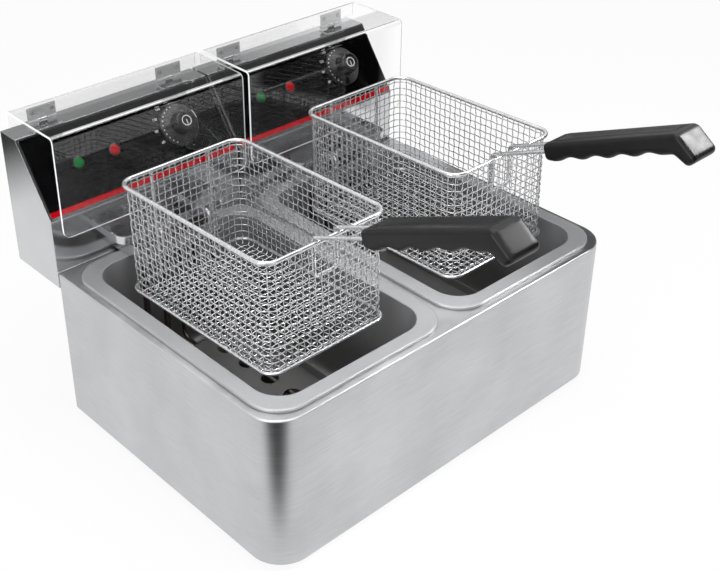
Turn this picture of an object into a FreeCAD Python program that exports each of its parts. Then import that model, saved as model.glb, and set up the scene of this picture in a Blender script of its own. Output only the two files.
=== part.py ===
import FreeCAD, Part
import math
import os
import re

import Sketcher

# Twin-tank countertop deep fryer, in millimetres. +X is to the user's right, +Y to the back, +Z up.
# The origin lies under the middle of the whole fryer, on the surface that its feet stand on.
# The two halves are alike: the right one is the left one moved along X.

SIZES = {
    # Body
    "sheet_gauge": 1.2,
    "seat_gap": 0.3,
    "shell_width": 560,
    "shell_depth": 400,
    "shell_height": 201,
    "shell_corner": 42,
    "shell_back_corner": 3,
    "shell_edge": 2,
    "base_fit": 0.2,
    "foot_height": 10,
    "foot_radius": 14,
    "foot_inset": 48,
    "foot_recess_radius": 6,
    "foot_recess_depth": 5,
    "foot_screw_radius": 2,
    "foot_screw_head_radius": 4,
    "foot_screw_head_height": 2.5,
    "foot_screw_stub": 4,
    "screw_clearance": 0.1,
    # Oil tanks
    "flange_margin": 9,
    "flange_gap": 10,
    "flange_rise": 4,
    "flange_width": 19,
    "flange_corner": 42,
    "flange_edge": 1.8,
    "bead_width": 5,
    "opening_corner": 36,
    "pan_depth": 160,
    "pan_draft": 8,
    "pan_floor_round": 14,
    "pan_clearance": 2,
    # Heating element, its bracket, guard and probe
    "bracket_width": 120,
    "bracket_reach": 58,
    "bracket_height": 20,
    "element_radius": 4,
    "element_lift": 22,
    "element_bend": 18,
    "element_setback": 48,
    "element_front_inset": 60,
    "outer_loop_width": 104,
    "inner_loop_width": 48,
    "probe_radius": 2.5,
    "probe_length": 120,
    "probe_bend": 12,
    "guard_width": 126,
    "guard_length": 250,
    "guard_back_inset": 80,
    "guard_flange": 14,
    "guard_hole_radius": 11,
    "guard_hole_pitch": 38,
    "guard_row_pitch": 43,
    "guard_row_start": 32,
    # Control heads
    "head_gap": 4,
    "head_drop": 20.5,
    "face_height": 71.5,
    "panel_length": 104,
    "panel_angle": 54.5,
    "head_top_depth": 31.9,
    "overlay_gauge": 0.8,
    "overlay_inset": 3,
    "overlay_corner": 2,
    "power_light_offset": -76.5,
    "heat_light_offset": -25.5,
    "light_height": 55,
    "lens_radius": 7.2,
    "lens_height": 3.2,
    "barrel_radius": 5,
    "barrel_length": 24,
    "barrel_clearance": 0.2,
    "knob_offset": 72,
    "knob_height": 57.3,
    "knob_lift": 0.5,
    "knob_skirt_radius": 27,
    "knob_skirt_height": 3,
    "knob_shoulder_height": 9,
    "knob_hub_radius": 15,
    "knob_cap_radius": 13.5,
    "knob_total_height": 24,
    "pointer_width": 4,
    "pointer_inner": 12,
    "pointer_outer": 24.5,
    "pointer_height": 9,
    "shaft_radius": 3,
    "shaft_length": 18,
    "shaft_fit": 0.05,
    "thermostat_width": 36,
    "thermostat_length": 44,
    "thermostat_depth": 28,
    "terminal_width": 60,
    "terminal_depth": 26,
    "terminal_height": 22,
    "terminal_offset": 60,
    "cutout_size": 30,
    "cutout_depth": 24,
    "cutout_offset": -90,
    "cutout_height": 60,
    "button_radius": 5,
    "button_inner": 8,
    "button_proud": 4.5,
    "button_travel": 3,
    "button_clearance": 0.3,
    "gland_offset": 90,
    "gland_height": 32,
    "gland_length": 20,
    "gland_collar": 5,
    "gland_collar_radius": 10,
    "gland_dome_radius": 8,
    "gland_thread_radius": 7,
    "gland_nut_length": 5,
    "gland_bore_radius": 4,
    # Basket hangers
    "hanger_gauge": 2,
    "hanger_strip": 10,
    "hanger_width": 160,
    "hanger_reach": 55,
    "hanger_height": 48,
    "hanger_bend": 14,
    # Clear splash covers and their hinges
    "cover_gauge": 3,
    "cover_inset": 3,
    "cover_rise": 31,
    "cover_overhang": 23,
    "cover_drop": 15,
    "cover_bend": 7,
    "cover_corner": 10,
    "hinge_setback": 16.5,
    "hinge_rise": 6,
    "hinge_offset": 92,
    "hinge_width": 38,
    "leaf_gauge": 1.2,
    "leaf_height": 17,
    "leaf_depth": 16,
    "knuckle_radius": 2.6,
    "knuckle_gap": 0.25,
    "pin_radius": 1.5,
    "pin_fit": 0.05,
    "cover_screw_radius": 1.5,
    "cover_screw_head_radius": 3.4,
    "cover_screw_head_height": 1.6,
    "cover_screw_spacing": 26,
    "cover_screw_height": 11,
    # Baskets
    "basket_width": 174,
    "basket_depth": 260,
    "basket_height": 142,
    "basket_corner": 18,
    "basket_standoff": 70.6,
    "basket_lift": 133,
    "basket_tilt": 1.7,
    "mesh_gauge": 1,
    "mesh_margin": 6,
    "mesh_bar": 3,
    "weld_gap": 0.2,
    "rim_wire_radius": 2.5,
    "base_wire_radius": 2,
    "base_wire_lift": 5,
    "stay_radius": 1.5,
    "stay_spacing": 82,
    "hook_radius": 2,
    "hook_spacing": 70,
    "hook_run": 32,
    "hook_drop": 14,
    "hook_bend": 5,
    # Handles
    "handle_tilt": 23.5,
    "handle_radius": 2.5,
    "handle_spacing": 32,
    "handle_drop": 48,
    "handle_reach": 78,
    "handle_bend": 6,
    "handle_socket": 34,
    "socket_fit": 0.1,
    "grip_length": 198,
    "grip_start_width": 42,
    "grip_end_width": 43,
    "grip_start_half": 9.5,
    "grip_top": 10.5,
    "grip_top_start": 12,
    "grip_bottom": 12,
    "grip_block_length": 27,
    "grip_tip_drop": 20,
    "grip_block_drop": 26,
    "scallop_pitch": 35,
    "scallop_radius": 30,
    "scallop_depth": 3.5,
}

# Places and sizes that follow from the driving ones
DERIVED = {
    "handle_stack": "rim_wire_radius + handle_radius + weld_gap",
    "grip_reach": "(handle_reach + grip_length)*cos(handle_tilt)"
                  " + (grip_tip_drop - handle_stack)*sin(handle_tilt)",
    "front_overhang": "grip_reach + basket_depth*cos(basket_tilt) + basket_standoff"
                      " - shell_depth - seat_gap",
    "back_overhang": "seat_gap + head_depth + sheet_gauge + gland_length",
    "head_depth": "panel_length*cos(panel_angle) + head_top_depth",
    "shell_front": "(front_overhang - back_overhang - shell_depth)/2",
    "shell_back": "shell_front + shell_depth",
    "deck_z": "foot_height + shell_height",
    "foot_x": "shell_width/2 - foot_inset",
    "tank_width": "(shell_width - 2*flange_margin - flange_gap)/2",
    "tank_depth": "shell_depth - 2*flange_margin",
    "tank_x": "flange_gap/2 + tank_width/2",
    "tank_y": "shell_front + shell_depth/2",
    "flange_top": "deck_z + flange_rise",
    "pan_floor": "flange_top - pan_depth",
    "opening_width": "tank_width - 2*flange_width",
    "opening_depth": "tank_depth - 2*flange_width",
    "head_width": "(shell_width - head_gap)/2",
    "head_x": "head_gap/2 + head_width/2",
    "head_front": "shell_back + seat_gap",
    "head_back": "head_front + head_depth",
    "head_bottom": "deck_z - head_drop",
    "panel_z": "deck_z + face_height",
    "head_top": "panel_z + panel_length*sin(panel_angle)",
    "bracket_bottom": "flange_top + seat_gap",
    "bracket_top": "bracket_bottom + bracket_height",
    "element_z": "pan_floor + element_lift",
    "element_y": "head_front - element_setback",
    "guard_z": "element_z + element_radius + seat_gap",
    "guard_back": "head_front - guard_back_inset",
    "knob_base": "overlay_gauge + knob_lift",
    "hinge_y": "head_back - hinge_setback",
    "hinge_z": "head_top + hinge_rise",
    "cover_width": "head_width - 2*cover_inset",
    "cover_back": "hinge_y + leaf_gauge/2 + cover_gauge",
    "cover_front": "head_front - cover_overhang",
    "cover_top": "head_top + cover_rise",
    "cover_bottom": "panel_z - cover_drop",
    "strip_bottom": "hinge_z + knuckle_radius + 1",
    "hanger_z": "deck_z + hanger_height",
    "hanger_y": "head_front - hanger_reach",
    "basket_y": "head_front - basket_standoff",
    "basket_z": "deck_z + basket_lift",
    "mesh_inset": "rim_wire_radius + weld_gap",
    "handle_y": "basket_y - basket_depth*cos(basket_tilt) + handle_stack*sin(handle_tilt)",
    "handle_z": "basket_z + basket_depth*sin(basket_tilt) + handle_stack*cos(handle_tilt)",
}

SIDES = {"left": "-1", "right": "1"}
# Openings of the basket along its side, across its front and from rim to floor
MESH_COLUMNS = 12
MESH_ACROSS = 8
MESH_ROWS = 7
WORD = re.compile(r"[a-z_][a-z0-9_]*")
TOLERANCE = 1e-4

doc = FreeCAD.newDocument("Fryer")
sheet = doc.addObject("Spreadsheet::Sheet", "Sizes")
for row, (alias, number) in enumerate(SIZES.items(), 1):
    sheet.set(f"A{row}", str(number))
    sheet.setAlias(f"A{row}", alias)
doc.recompute()

pieces = []


def expand(text):
    """Formula in sheet cells for a formula in named sizes."""

    def swap(match):
        word = match.group(0)
        if word in SIZES:
            return "Sizes." + word
        if word in DERIVED:
            return "(" + expand(DERIVED[word]) + ")"
        return word

    return WORD.sub(swap, text)


def value(text):
    """Number that a formula in named sizes gives now."""
    return float(sheet.evalExpression(expand(text)))


def bind(obj, path, text):
    """Tie one property of an object to the sheet."""
    obj.setExpression(path, expand(text))


def place(obj, x="0", y="0", z="0", turn=None):
    """Tie an object's place, and its turn about X in degrees, to the sheet."""
    if turn is not None:
        tilted = FreeCAD.Rotation(FreeCAD.Vector(1, 0, 0), value(turn))
        obj.Placement = FreeCAD.Placement(FreeCAD.Vector(), tilted)
        bind(obj, "Placement.Rotation.Angle", turn)
    for axis, text in zip("xyz", (x, y, z)):
        bind(obj, f"Placement.Base.{axis}", text)
    return obj


def keep(obj, label):
    """Name a finished sub-part; the name is also its file's."""
    obj.Label = label
    pieces.append(obj)
    return obj


# Sketches and solid features

def new_body(label):
    return doc.addObject("PartDesign::Body", "Body_" + label)


def sketch_on(body, role, offset="0"):
    """Sketch on one of the body's own origin planes, moved along the plane's normal."""
    sketch = body.newObject("Sketcher::SketchObject", body.Name + "_sketch")
    plane = [item for item in body.Origin.OriginFeatures if item.Role == role][0]
    sketch.AttachmentSupport = [(plane, "")]
    sketch.MapMode = "FlatFace"
    bind(sketch, "AttachmentOffset.Base.z", offset)
    return sketch


def dimension(sketch, kind, geometry, point, text):
    """Signed distance of a point from the sketch's origin, or a radius, tied to the sheet."""
    if kind == "Radius":
        index = sketch.addConstraint(Sketcher.Constraint(kind, geometry, value(text)))
    else:
        index = sketch.addConstraint(Sketcher.Constraint(kind, -1, 1, geometry, point, value(text)))
    bind(sketch, f"Constraints[{index}]", text)


def polygon(sketch, corners):
    """Closed outline through corners that are pairs of formulas."""
    points = [FreeCAD.Vector(value(across), value(up), 0) for across, up in corners]
    first = sketch.GeometryCount
    count = len(points)
    for number in range(count):
        sketch.addGeometry(Part.LineSegment(points[number], points[(number + 1) % count]))
    for number in range(count):
        after = first + (number + 1) % count
        sketch.addConstraint(Sketcher.Constraint("Coincident", first + number, 2, after, 1))
    for number, (across, up) in enumerate(corners):
        dimension(sketch, "DistanceX", first + number, 1, across)
        dimension(sketch, "DistanceY", first + number, 1, up)


def rectangle(sketch, left, right, low, high):
    polygon(sketch, [(left, low), (right, low), (right, high), (left, high)])


def rounded_rectangle(sketch, width, depth, radius, middle_x="0", middle_y="0", far_radius=None):
    """Rectangle with round corners about a middle point; the far corners may have their own radius."""
    left = f"({middle_x}) - ({width})/2"
    right = f"({middle_x}) + ({width})/2"
    low = f"({middle_y}) - ({depth})/2"
    high = f"({middle_y}) + ({depth})/2"
    x0, x1, y0, y1 = (value(text) for text in (left, right, low, high))
    near_r = value(radius)
    far_r = value(far_radius or radius)
    first = sketch.GeometryCount
    sides = [((x0 + near_r, y0), (x1 - near_r, y0)), ((x1, y0 + near_r), (x1, y1 - far_r)),
             ((x1 - far_r, y1), (x0 + far_r, y1)), ((x0, y1 - far_r), (x0, y0 + near_r))]
    corners = [(x1 - near_r, y0 + near_r, near_r), (x1 - far_r, y1 - far_r, far_r),
               (x0 + far_r, y1 - far_r, far_r), (x0 + near_r, y0 + near_r, near_r)]
    for start, end in sides:
        sketch.addGeometry(Part.LineSegment(FreeCAD.Vector(*start, 0), FreeCAD.Vector(*end, 0)))
    for number, (across, up, corner_radius) in enumerate(corners):
        circle = Part.Circle(FreeCAD.Vector(across, up, 0), FreeCAD.Vector(0, 0, 1), corner_radius)
        begin = (number - 1) * math.pi / 2
        sketch.addGeometry(Part.ArcOfCircle(circle, begin, begin + math.pi / 2))
    for number in range(4):
        arc = first + 4 + number
        sketch.addConstraint(Sketcher.Constraint("Tangent", first + number, 2, arc, 1))
        sketch.addConstraint(Sketcher.Constraint("Tangent", arc, 2, first + (number + 1) % 4, 1))
    for number, kind in enumerate(("Horizontal", "Vertical", "Horizontal", "Vertical")):
        sketch.addConstraint(Sketcher.Constraint(kind, first + number))
    sketch.addConstraint(Sketcher.Constraint("Equal", first + 4, first + 7))
    sketch.addConstraint(Sketcher.Constraint("Equal", first + 5, first + 6))
    dimension(sketch, "Radius", first + 4, 0, radius)
    dimension(sketch, "Radius", first + 5, 0, far_radius or radius)
    dimension(sketch, "DistanceY", first, 1, low)
    dimension(sketch, "DistanceX", first + 1, 1, right)
    dimension(sketch, "DistanceY", first + 2, 1, high)
    dimension(sketch, "DistanceX", first + 3, 1, left)


def hole_circle(sketch, across, up, radius):
    point = FreeCAD.Vector(value(across), value(up), 0)
    index = sketch.addGeometry(Part.Circle(point, FreeCAD.Vector(0, 0, 1), value(radius)))
    dimension(sketch, "Radius", index, 0, radius)
    dimension(sketch, "DistanceX", index, 3, across)
    dimension(sketch, "DistanceY", index, 3, up)


def pad(body, sketch, length, back=False):
    """Grow the sketch along its normal, or against it."""
    feature = body.newObject("PartDesign::Pad", body.Name + "_pad")
    feature.Profile = sketch
    feature.Reversed = back
    bind(feature, "Length", length)
    return feature


def pocket(body, sketch, length, forward=False):
    """Cut the sketch against its normal, or along it."""
    feature = body.newObject("PartDesign::Pocket", body.Name + "_pocket")
    feature.Profile = sketch
    feature.Reversed = forward
    bind(feature, "Length", length)
    return feature


def round_edges(body, radius, test):
    """Fillet the edges of the body whose box passes the test."""
    doc.recompute()
    base = body.Tip
    names = [f"Edge{number}" for number, edge in enumerate(base.Shape.Edges, 1) if test(edge.BoundBox)]
    if not names:
        raise ValueError(f"no edge to round on {body.Name}")
    feature = body.newObject("PartDesign::Fillet", body.Name + "_round")
    feature.Base = (base, names)
    bind(feature, "Radius", radius)
    return feature


def repeat(body, feature, sketch, axis, count, pitch):
    """Copies of a cut at a pitch, against an axis of its sketch."""
    pattern = body.newObject("PartDesign::LinearPattern", body.Name + "_pattern")
    pattern.Originals = [feature]
    pattern.Direction = (sketch, [axis])
    pattern.Reversed = True
    pattern.Occurrences = count
    bind(pattern, "Length", f"{count - 1}*{pitch}")
    body.Tip = pattern


def near(number, target):
    return abs(number - target) < TOLERANCE


def level_at(text):
    """Test for edges that lie flat at one height."""
    height = value(text)
    return lambda box: near(box.ZMin, height) and near(box.ZMax, height)


# Primitives and booleans

def block(label, x, y, z, width, depth, height):
    """Box that is centred on x and starts at y and z."""
    box = doc.addObject("Part::Box", label)
    bind(box, "Length", width)
    bind(box, "Width", depth)
    bind(box, "Height", height)
    return place(box, f"({x}) - ({width})/2", y, z)


def disc(label, x, y, z, radius, height):
    """Upright cylinder."""
    cylinder = doc.addObject("Part::Cylinder", label)
    bind(cylinder, "Radius", radius)
    bind(cylinder, "Height", height)
    return place(cylinder, x, y, z)


def peg(label, x, y, z, radius, length):
    """Cylinder that runs to the back from y."""
    cylinder = doc.addObject("Part::Cylinder", label)
    bind(cylinder, "Radius", radius)
    bind(cylinder, "Height", length)
    return place(cylinder, x, y, z, "-90")


def roller(label, x, y, z, radius, length):
    """Cylinder along X, centred on x."""
    cylinder = doc.addObject("Part::Cylinder", label)
    bind(cylinder, "Radius", radius)
    bind(cylinder, "Height", length)
    cylinder.Placement = FreeCAD.Placement(FreeCAD.Vector(), FreeCAD.Rotation(FreeCAD.Vector(0, 1, 0), 90))
    return place(cylinder, f"({x}) - ({length})/2", y, z)


def fuse(label, shapes):
    feature = doc.addObject("Part::MultiFuse", label)
    feature.Shapes = shapes
    return feature


def cut(label, base, tools):
    """Base without the tools."""
    feature = doc.addObject("Part::Cut", label)
    feature.Base = base
    feature.Tool = tools[0] if len(tools) == 1 else fuse(label + "_tools", tools)
    return feature


def group(label, members):
    feature = doc.addObject("Part::Compound", label)
    feature.Links = members
    return feature


# Bent wire

def rod(points, radius, bend, closed=False):
    """Round rod along straight runs that are joined by tangent arcs."""
    corners = [FreeCAD.Vector(*point) for point in points]
    count = len(corners)
    stations = []
    for number, corner in enumerate(corners):
        if not closed and number in (0, count - 1):
            stations.append((corner, corner, corner))
            continue
        inward = (corners[number - 1] - corner).normalize()
        outward = (corners[(number + 1) % count] - corner).normalize()
        half = inward.getAngle(outward) / 2
        reach = bend / math.tan(half)
        middle = corner + (inward + outward).normalize() * (bend / math.sin(half) - bend)
        stations.append((corner + inward * reach, middle, corner + outward * reach))
    edges = []
    for number, (start, middle, end) in enumerate(stations):
        if (end - start).Length > TOLERANCE:
            edges.append(Part.Arc(start, middle, end).toShape())
        if number + 1 < count or closed:
            following = stations[(number + 1) % count][0]
            if (following - end).Length > TOLERANCE:
                edges.append(Part.LineSegment(end, following).toShape())
    path = Part.Wire(Part.__sortEdges__(edges))
    begin = edges[0].valueAt(edges[0].FirstParameter)
    heading = edges[0].tangentAt(edges[0].FirstParameter)
    profile = Part.Wire(Part.makeCircle(radius, begin, heading))
    return path.makePipeShell([profile], True, False)


def wire_piece(label, shape, x="0", y="0", z="0", turn=None):
    """Sub-part of bent wire, shaped in its own frame and then placed."""
    feature = doc.addObject("Part::Feature", label)
    feature.Shape = shape
    return keep(place(feature, x, y, z, turn), label)


def ring_points(width, depth, inset, level):
    """Corners of the basket's outline, drawn in by an inset, from its back edge forward."""
    half = width / 2 - inset
    return [(-half, -inset, level), (half, -inset, level),
            (half, inset - depth, level), (-half, inset - depth, level)]


# Body of the fryer

def make_outer_shell():
    body = new_body("outer_shell")
    outline = sketch_on(body, "XY_Plane", "foot_height")
    rounded_rectangle(outline, "shell_width", "shell_depth", "shell_corner", "0", "shell_depth/2",
                      "shell_back_corner")
    pad(body, outline, "shell_height")
    round_edges(body, "shell_edge", level_at("deck_z"))
    hollow = sketch_on(body, "XY_Plane", "foot_height")
    rounded_rectangle(hollow, "shell_width - 2*sheet_gauge", "shell_depth - 2*sheet_gauge",
                      "shell_corner - sheet_gauge", "0", "shell_depth/2", "shell_back_corner - sheet_gauge")
    pocket(body, hollow, "shell_height - sheet_gauge", forward=True)
    for sign in SIDES.values():
        opening = sketch_on(body, "XY_Plane", "deck_z")
        rounded_rectangle(opening, "opening_width + 2*(sheet_gauge + pan_clearance)",
                          "opening_depth + 2*(sheet_gauge + pan_clearance)",
                          "opening_corner + sheet_gauge + pan_clearance", f"{sign}*tank_x", "shell_depth/2")
        pocket(body, opening, "2*sheet_gauge")
    place(body, y="shell_front")
    keep(body, "outer_shell")


def foot_places():
    """Middle of each foot: two at the front, two at the back."""
    for across in ("-foot_x", "foot_x"):
        for along in ("shell_front + foot_inset", "shell_back - foot_inset"):
            yield across, along


def make_base_plate():
    body = new_body("base_plate")
    outline = sketch_on(body, "XY_Plane", "foot_height")
    trim = "2*(sheet_gauge + base_fit)"
    rounded_rectangle(outline, f"shell_width - {trim}", f"shell_depth - {trim}",
                      "shell_corner - sheet_gauge - base_fit", "0", "tank_y",
                      "shell_back_corner - sheet_gauge - base_fit")
    for across, along in foot_places():
        hole_circle(outline, across, along, "foot_screw_radius + screw_clearance")
    pad(body, outline, "sheet_gauge")
    keep(body, "base_plate")


def make_feet():
    feet = []
    screws = []
    for number, (x, y) in enumerate(foot_places()):
        stem = f"foot_{number}"
        puck = disc(stem + "_puck", x, y, "0", "foot_radius", "foot_height")
        recess = disc(stem + "_recess", x, y, "0", "foot_recess_radius", "foot_recess_depth")
        bore = disc(stem + "_bore", x, y, "0", "foot_screw_radius + screw_clearance", "foot_height")
        feet.append(cut(stem, puck, [recess, bore]))
        head = disc(stem + "_screw_head", x, y, "foot_recess_depth - foot_screw_head_height",
                    "foot_screw_head_radius", "foot_screw_head_height")
        shank = disc(stem + "_screw_shank", x, y, "foot_recess_depth", "foot_screw_radius",
                     "foot_height - foot_recess_depth + sheet_gauge + foot_screw_stub")
        screws.append(fuse(stem + "_screw", [head, shank]))
    keep(group("feet_group", feet), "feet")
    keep(group("foot_screws_group", screws), "foot_screws")


# Oil tank and what stands in it

def add_pan(body, wall):
    """Tapered pan below the flange's top, grown by a wall on all sides, with a round floor edge."""
    width = f"opening_width + 2*{wall}"
    depth = f"opening_depth + 2*{wall}"
    corner = f"opening_corner + {wall}"
    floor = f"pan_floor - {wall}"
    mouth = sketch_on(body, "XY_Plane", "flange_top")
    rounded_rectangle(mouth, width, depth, corner)
    floor_line = sketch_on(body, "XY_Plane", floor)
    rounded_rectangle(floor_line, f"{width} - 2*pan_draft", f"{depth} - 2*pan_draft", corner)
    feature = body.newObject("PartDesign::AdditiveLoft", body.Name + "_loft")
    feature.Profile = mouth
    feature.Sections = [floor_line]
    feature.Ruled = True
    round_edges(body, f"pan_floor_round + {wall}", level_at(floor))


def make_tank(side, sign):
    body = new_body("tank_solid_" + side)
    slab = sketch_on(body, "XY_Plane", "deck_z + seat_gap")
    rounded_rectangle(slab, "tank_width", "tank_depth", "flange_corner")
    pad(body, slab, "flange_rise - seat_gap")
    round_edges(body, "flange_edge", level_at("flange_top"))
    underside = sketch_on(body, "XY_Plane", "deck_z + seat_gap")
    rounded_rectangle(underside, "tank_width - 2*bead_width", "tank_depth - 2*bead_width",
                      "flange_corner - bead_width")
    pocket(body, underside, "flange_rise - seat_gap - sheet_gauge", forward=True)
    add_pan(body, "sheet_gauge")
    cavity = new_body("tank_cavity_" + side)
    add_pan(cavity, "0")
    for solid in (body, cavity):
        place(solid, f"{sign}*tank_x", "tank_y")
    keep(cut(f"oil_tank_cut_{side}", body, [cavity]), "oil_tank_" + side)


def make_element_bracket(side, sign):
    body = new_body("element_bracket_" + side)
    outline = sketch_on(body, "XY_Plane", "bracket_bottom")
    rectangle(outline, "-bracket_width/2", "bracket_width/2", "-bracket_reach", "0")
    pad(body, outline, "bracket_height")
    hollow = sketch_on(body, "XY_Plane", "bracket_bottom")
    rectangle(hollow, "sheet_gauge - bracket_width/2", "bracket_width/2 - sheet_gauge",
              "sheet_gauge - bracket_reach", "-sheet_gauge")
    pocket(body, hollow, "bracket_height - sheet_gauge", forward=True)
    place(body, f"{sign}*tank_x", "head_front")
    keep(body, "element_bracket_" + side)


def make_heating_element(side, sign):
    """Two hairpin tubes that hang from the bracket and lie above the tank's floor."""
    roof = value("bracket_top - sheet_gauge - element_z")
    front = -value("element_y - shell_front - element_front_inset")
    loops = []
    for width in ("outer_loop_width", "inner_loop_width"):
        half = value(width) / 2
        points = [(-half, 0, roof), (-half, 0, 0), (-half, front, 0),
                  (half, front, 0), (half, 0, 0), (half, 0, roof)]
        loops.append(rod(points, value("element_radius"), value("element_bend")))
    shape = Part.Compound(loops)
    wire_piece("heating_element_" + side, shape, f"{sign}*tank_x", "element_y", "element_z")


def make_probe(side, sign):
    roof = value("bracket_top - sheet_gauge - element_z")
    points = [(0, 0, roof), (0, 0, 0), (0, -value("probe_length"), 0)]
    shape = rod(points, value("probe_radius"), value("probe_bend"))
    wire_piece("thermostat_probe_" + side, shape, f"{sign}*tank_x", "element_y", "element_z")


def make_guard_plate(side, sign):
    body = new_body("guard_plate_" + side)
    outline = sketch_on(body, "XY_Plane")
    rectangle(outline, "-guard_width/2", "guard_width/2", "-guard_length", "0")
    pad(body, outline, "sheet_gauge")
    flanges = sketch_on(body, "XY_Plane")
    rectangle(flanges, "-guard_width/2", "sheet_gauge - guard_width/2", "-guard_length", "0")
    rectangle(flanges, "guard_width/2 - sheet_gauge", "guard_width/2", "-guard_length", "0")
    pad(body, flanges, "guard_flange")
    row = sketch_on(body, "XY_Plane", "sheet_gauge")
    columns = int(value("guard_width - 2*guard_hole_radius") // value("guard_hole_pitch"))
    rows = 1 + int(value("guard_length - guard_row_start - guard_hole_radius") // value("guard_row_pitch"))
    for number in range(columns):
        offset = number - (columns - 1) / 2
        hole_circle(row, f"{offset}*guard_hole_pitch", "-guard_row_start", "guard_hole_radius")
    holes = pocket(body, row, "2*sheet_gauge")
    repeat(body, holes, row, "V_Axis", rows, "guard_row_pitch")
    place(body, f"{sign}*tank_x", "guard_back", "guard_z")
    keep(body, "guard_plate_" + side)


# Control head

def panel_point(along, above):
    """Y and Z of a point on the sloping panel: along it from its lower edge, and above its face."""
    y = f"head_front + ({along})*cos(panel_angle) - ({above})*sin(panel_angle)"
    z = f"panel_z + ({along})*sin(panel_angle) + ({above})*cos(panel_angle)"
    return y, z


def stand(label, x, along, above, radius, height):
    """Cylinder that stands square on the sloping panel."""
    cylinder = disc(label, x, "0", "0", radius, height)
    y, z = panel_point(along, above)
    return place(cylinder, x, y, z, "panel_angle")


def make_head_casing(side, middle):
    body = new_body("head_shell_" + side)
    height = "(panel_z - head_bottom)"
    top = "(head_top - head_bottom)"
    slope_end = "panel_length*cos(panel_angle)"
    outline = sketch_on(body, "YZ_Plane", "-head_width/2")
    polygon(outline, [("0", "0"), ("head_depth", "0"), ("head_depth", top), (slope_end, top), ("0", height)])
    pad(body, outline, "head_width")
    inner_low = (f"{height} - sheet_gauge*cos(panel_angle)"
                 " + sheet_gauge*(1 - sin(panel_angle))*tan(panel_angle)")
    rise = f"({top} - sheet_gauge - {height} + sheet_gauge*cos(panel_angle))/tan(panel_angle)"
    inner_high = f"sheet_gauge*sin(panel_angle) + {rise}"
    hollow = sketch_on(body, "YZ_Plane", "sheet_gauge - head_width/2")
    polygon(hollow, [("sheet_gauge", "sheet_gauge"), ("head_depth + sheet_gauge", "sheet_gauge"),
                     ("head_depth + sheet_gauge", f"{top} - sheet_gauge"),
                     (inner_high, f"{top} - sheet_gauge"),
                     ("sheet_gauge", inner_low)])
    pocket(body, hollow, "head_width - 2*sheet_gauge", forward=True)
    place(body, middle, "head_front", "head_bottom")
    holes = [stand(f"shaft_hole_{side}", f"{middle} + knob_offset", "knob_height", "-2*sheet_gauge",
                   "shaft_radius + shaft_fit + screw_clearance", "3*sheet_gauge")]
    for name in ("power", "heat"):
        holes.append(stand(f"{name}_hole_{side}", f"{middle} + {name}_light_offset", "light_height",
                           "-2*sheet_gauge", "barrel_radius + barrel_clearance", "3*sheet_gauge"))
    keep(cut(f"head_casing_cut_{side}", body, holes), "head_casing_" + side)


def make_head_back(side, middle):
    plate = block(f"back_plate_{side}", middle, "head_back", "head_bottom", "head_width", "sheet_gauge",
                  "head_top - head_bottom")
    gland_hole = peg(f"gland_hole_{side}", f"{middle} + gland_offset", "head_back - sheet_gauge",
                     "head_bottom + gland_height", "gland_thread_radius + screw_clearance", "3*sheet_gauge")
    button_hole = peg(f"button_hole_{side}", f"{middle} + cutout_offset", "head_back - sheet_gauge",
                      "head_bottom + cutout_height", "button_radius + button_clearance", "3*sheet_gauge")
    keep(cut(f"head_back_cut_{side}", plate, [gland_hole, button_hole]), "head_back_cover_" + side)


def make_control_panel(side, middle):
    body = new_body("control_panel_" + side)
    outline = sketch_on(body, "XY_Plane")
    rounded_rectangle(outline, "head_width - 2*overlay_inset", "panel_length - 2*overlay_inset",
                      "overlay_corner", "0", "panel_length/2")
    hole_circle(outline, "knob_offset", "knob_height", "shaft_radius + shaft_fit + screw_clearance")
    for name in ("power", "heat"):
        hole_circle(outline, f"{name}_light_offset", "light_height", "barrel_radius + barrel_clearance")
    pad(body, outline, "overlay_gauge")
    place(body, middle, "head_front", "panel_z", "panel_angle")
    keep(body, "control_panel_" + side)


def make_lights(side, middle):
    for name in ("power", "heat"):
        across = f"{middle} + {name}_light_offset"
        lens = stand(f"{name}_lens_{side}", across, "light_height", "overlay_gauge", "lens_radius",
                     "lens_height")
        barrel = stand(f"{name}_barrel_{side}", across, "light_height", "overlay_gauge - barrel_length",
                       "barrel_radius", "barrel_length")
        keep(fuse(f"{name}_light_fuse_{side}", [lens, barrel]), f"{name}_light_{side}")


def make_knob(side, middle):
    body = new_body("knob_" + side)
    profile = sketch_on(body, "XZ_Plane")
    bore = "shaft_radius + shaft_fit"
    bore_top = "shaft_length + shaft_fit"
    polygon(profile, [(bore, "knob_base"), ("knob_skirt_radius", "knob_base"),
                      ("knob_skirt_radius", "knob_base + knob_skirt_height"),
                      ("knob_hub_radius", "knob_shoulder_height"), ("knob_cap_radius", "knob_total_height"),
                      ("0", "knob_total_height"), ("0", bore_top), (bore, bore_top)])
    turned = body.newObject("PartDesign::Revolution", body.Name + "_turned")
    turned.Profile = profile
    turned.ReferenceAxis = (profile, ["V_Axis"])
    turned.Angle = 360
    pointer = sketch_on(body, "XY_Plane", "knob_base + knob_skirt_height/2")
    rectangle(pointer, "-pointer_width/2", "pointer_width/2", "-pointer_outer", "-pointer_inner")
    pad(body, pointer, "pointer_height")
    y, z = panel_point("knob_height", "0")
    place(body, f"{middle} + knob_offset", y, z, "panel_angle")
    keep(body, "thermostat_knob_" + side)


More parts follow.
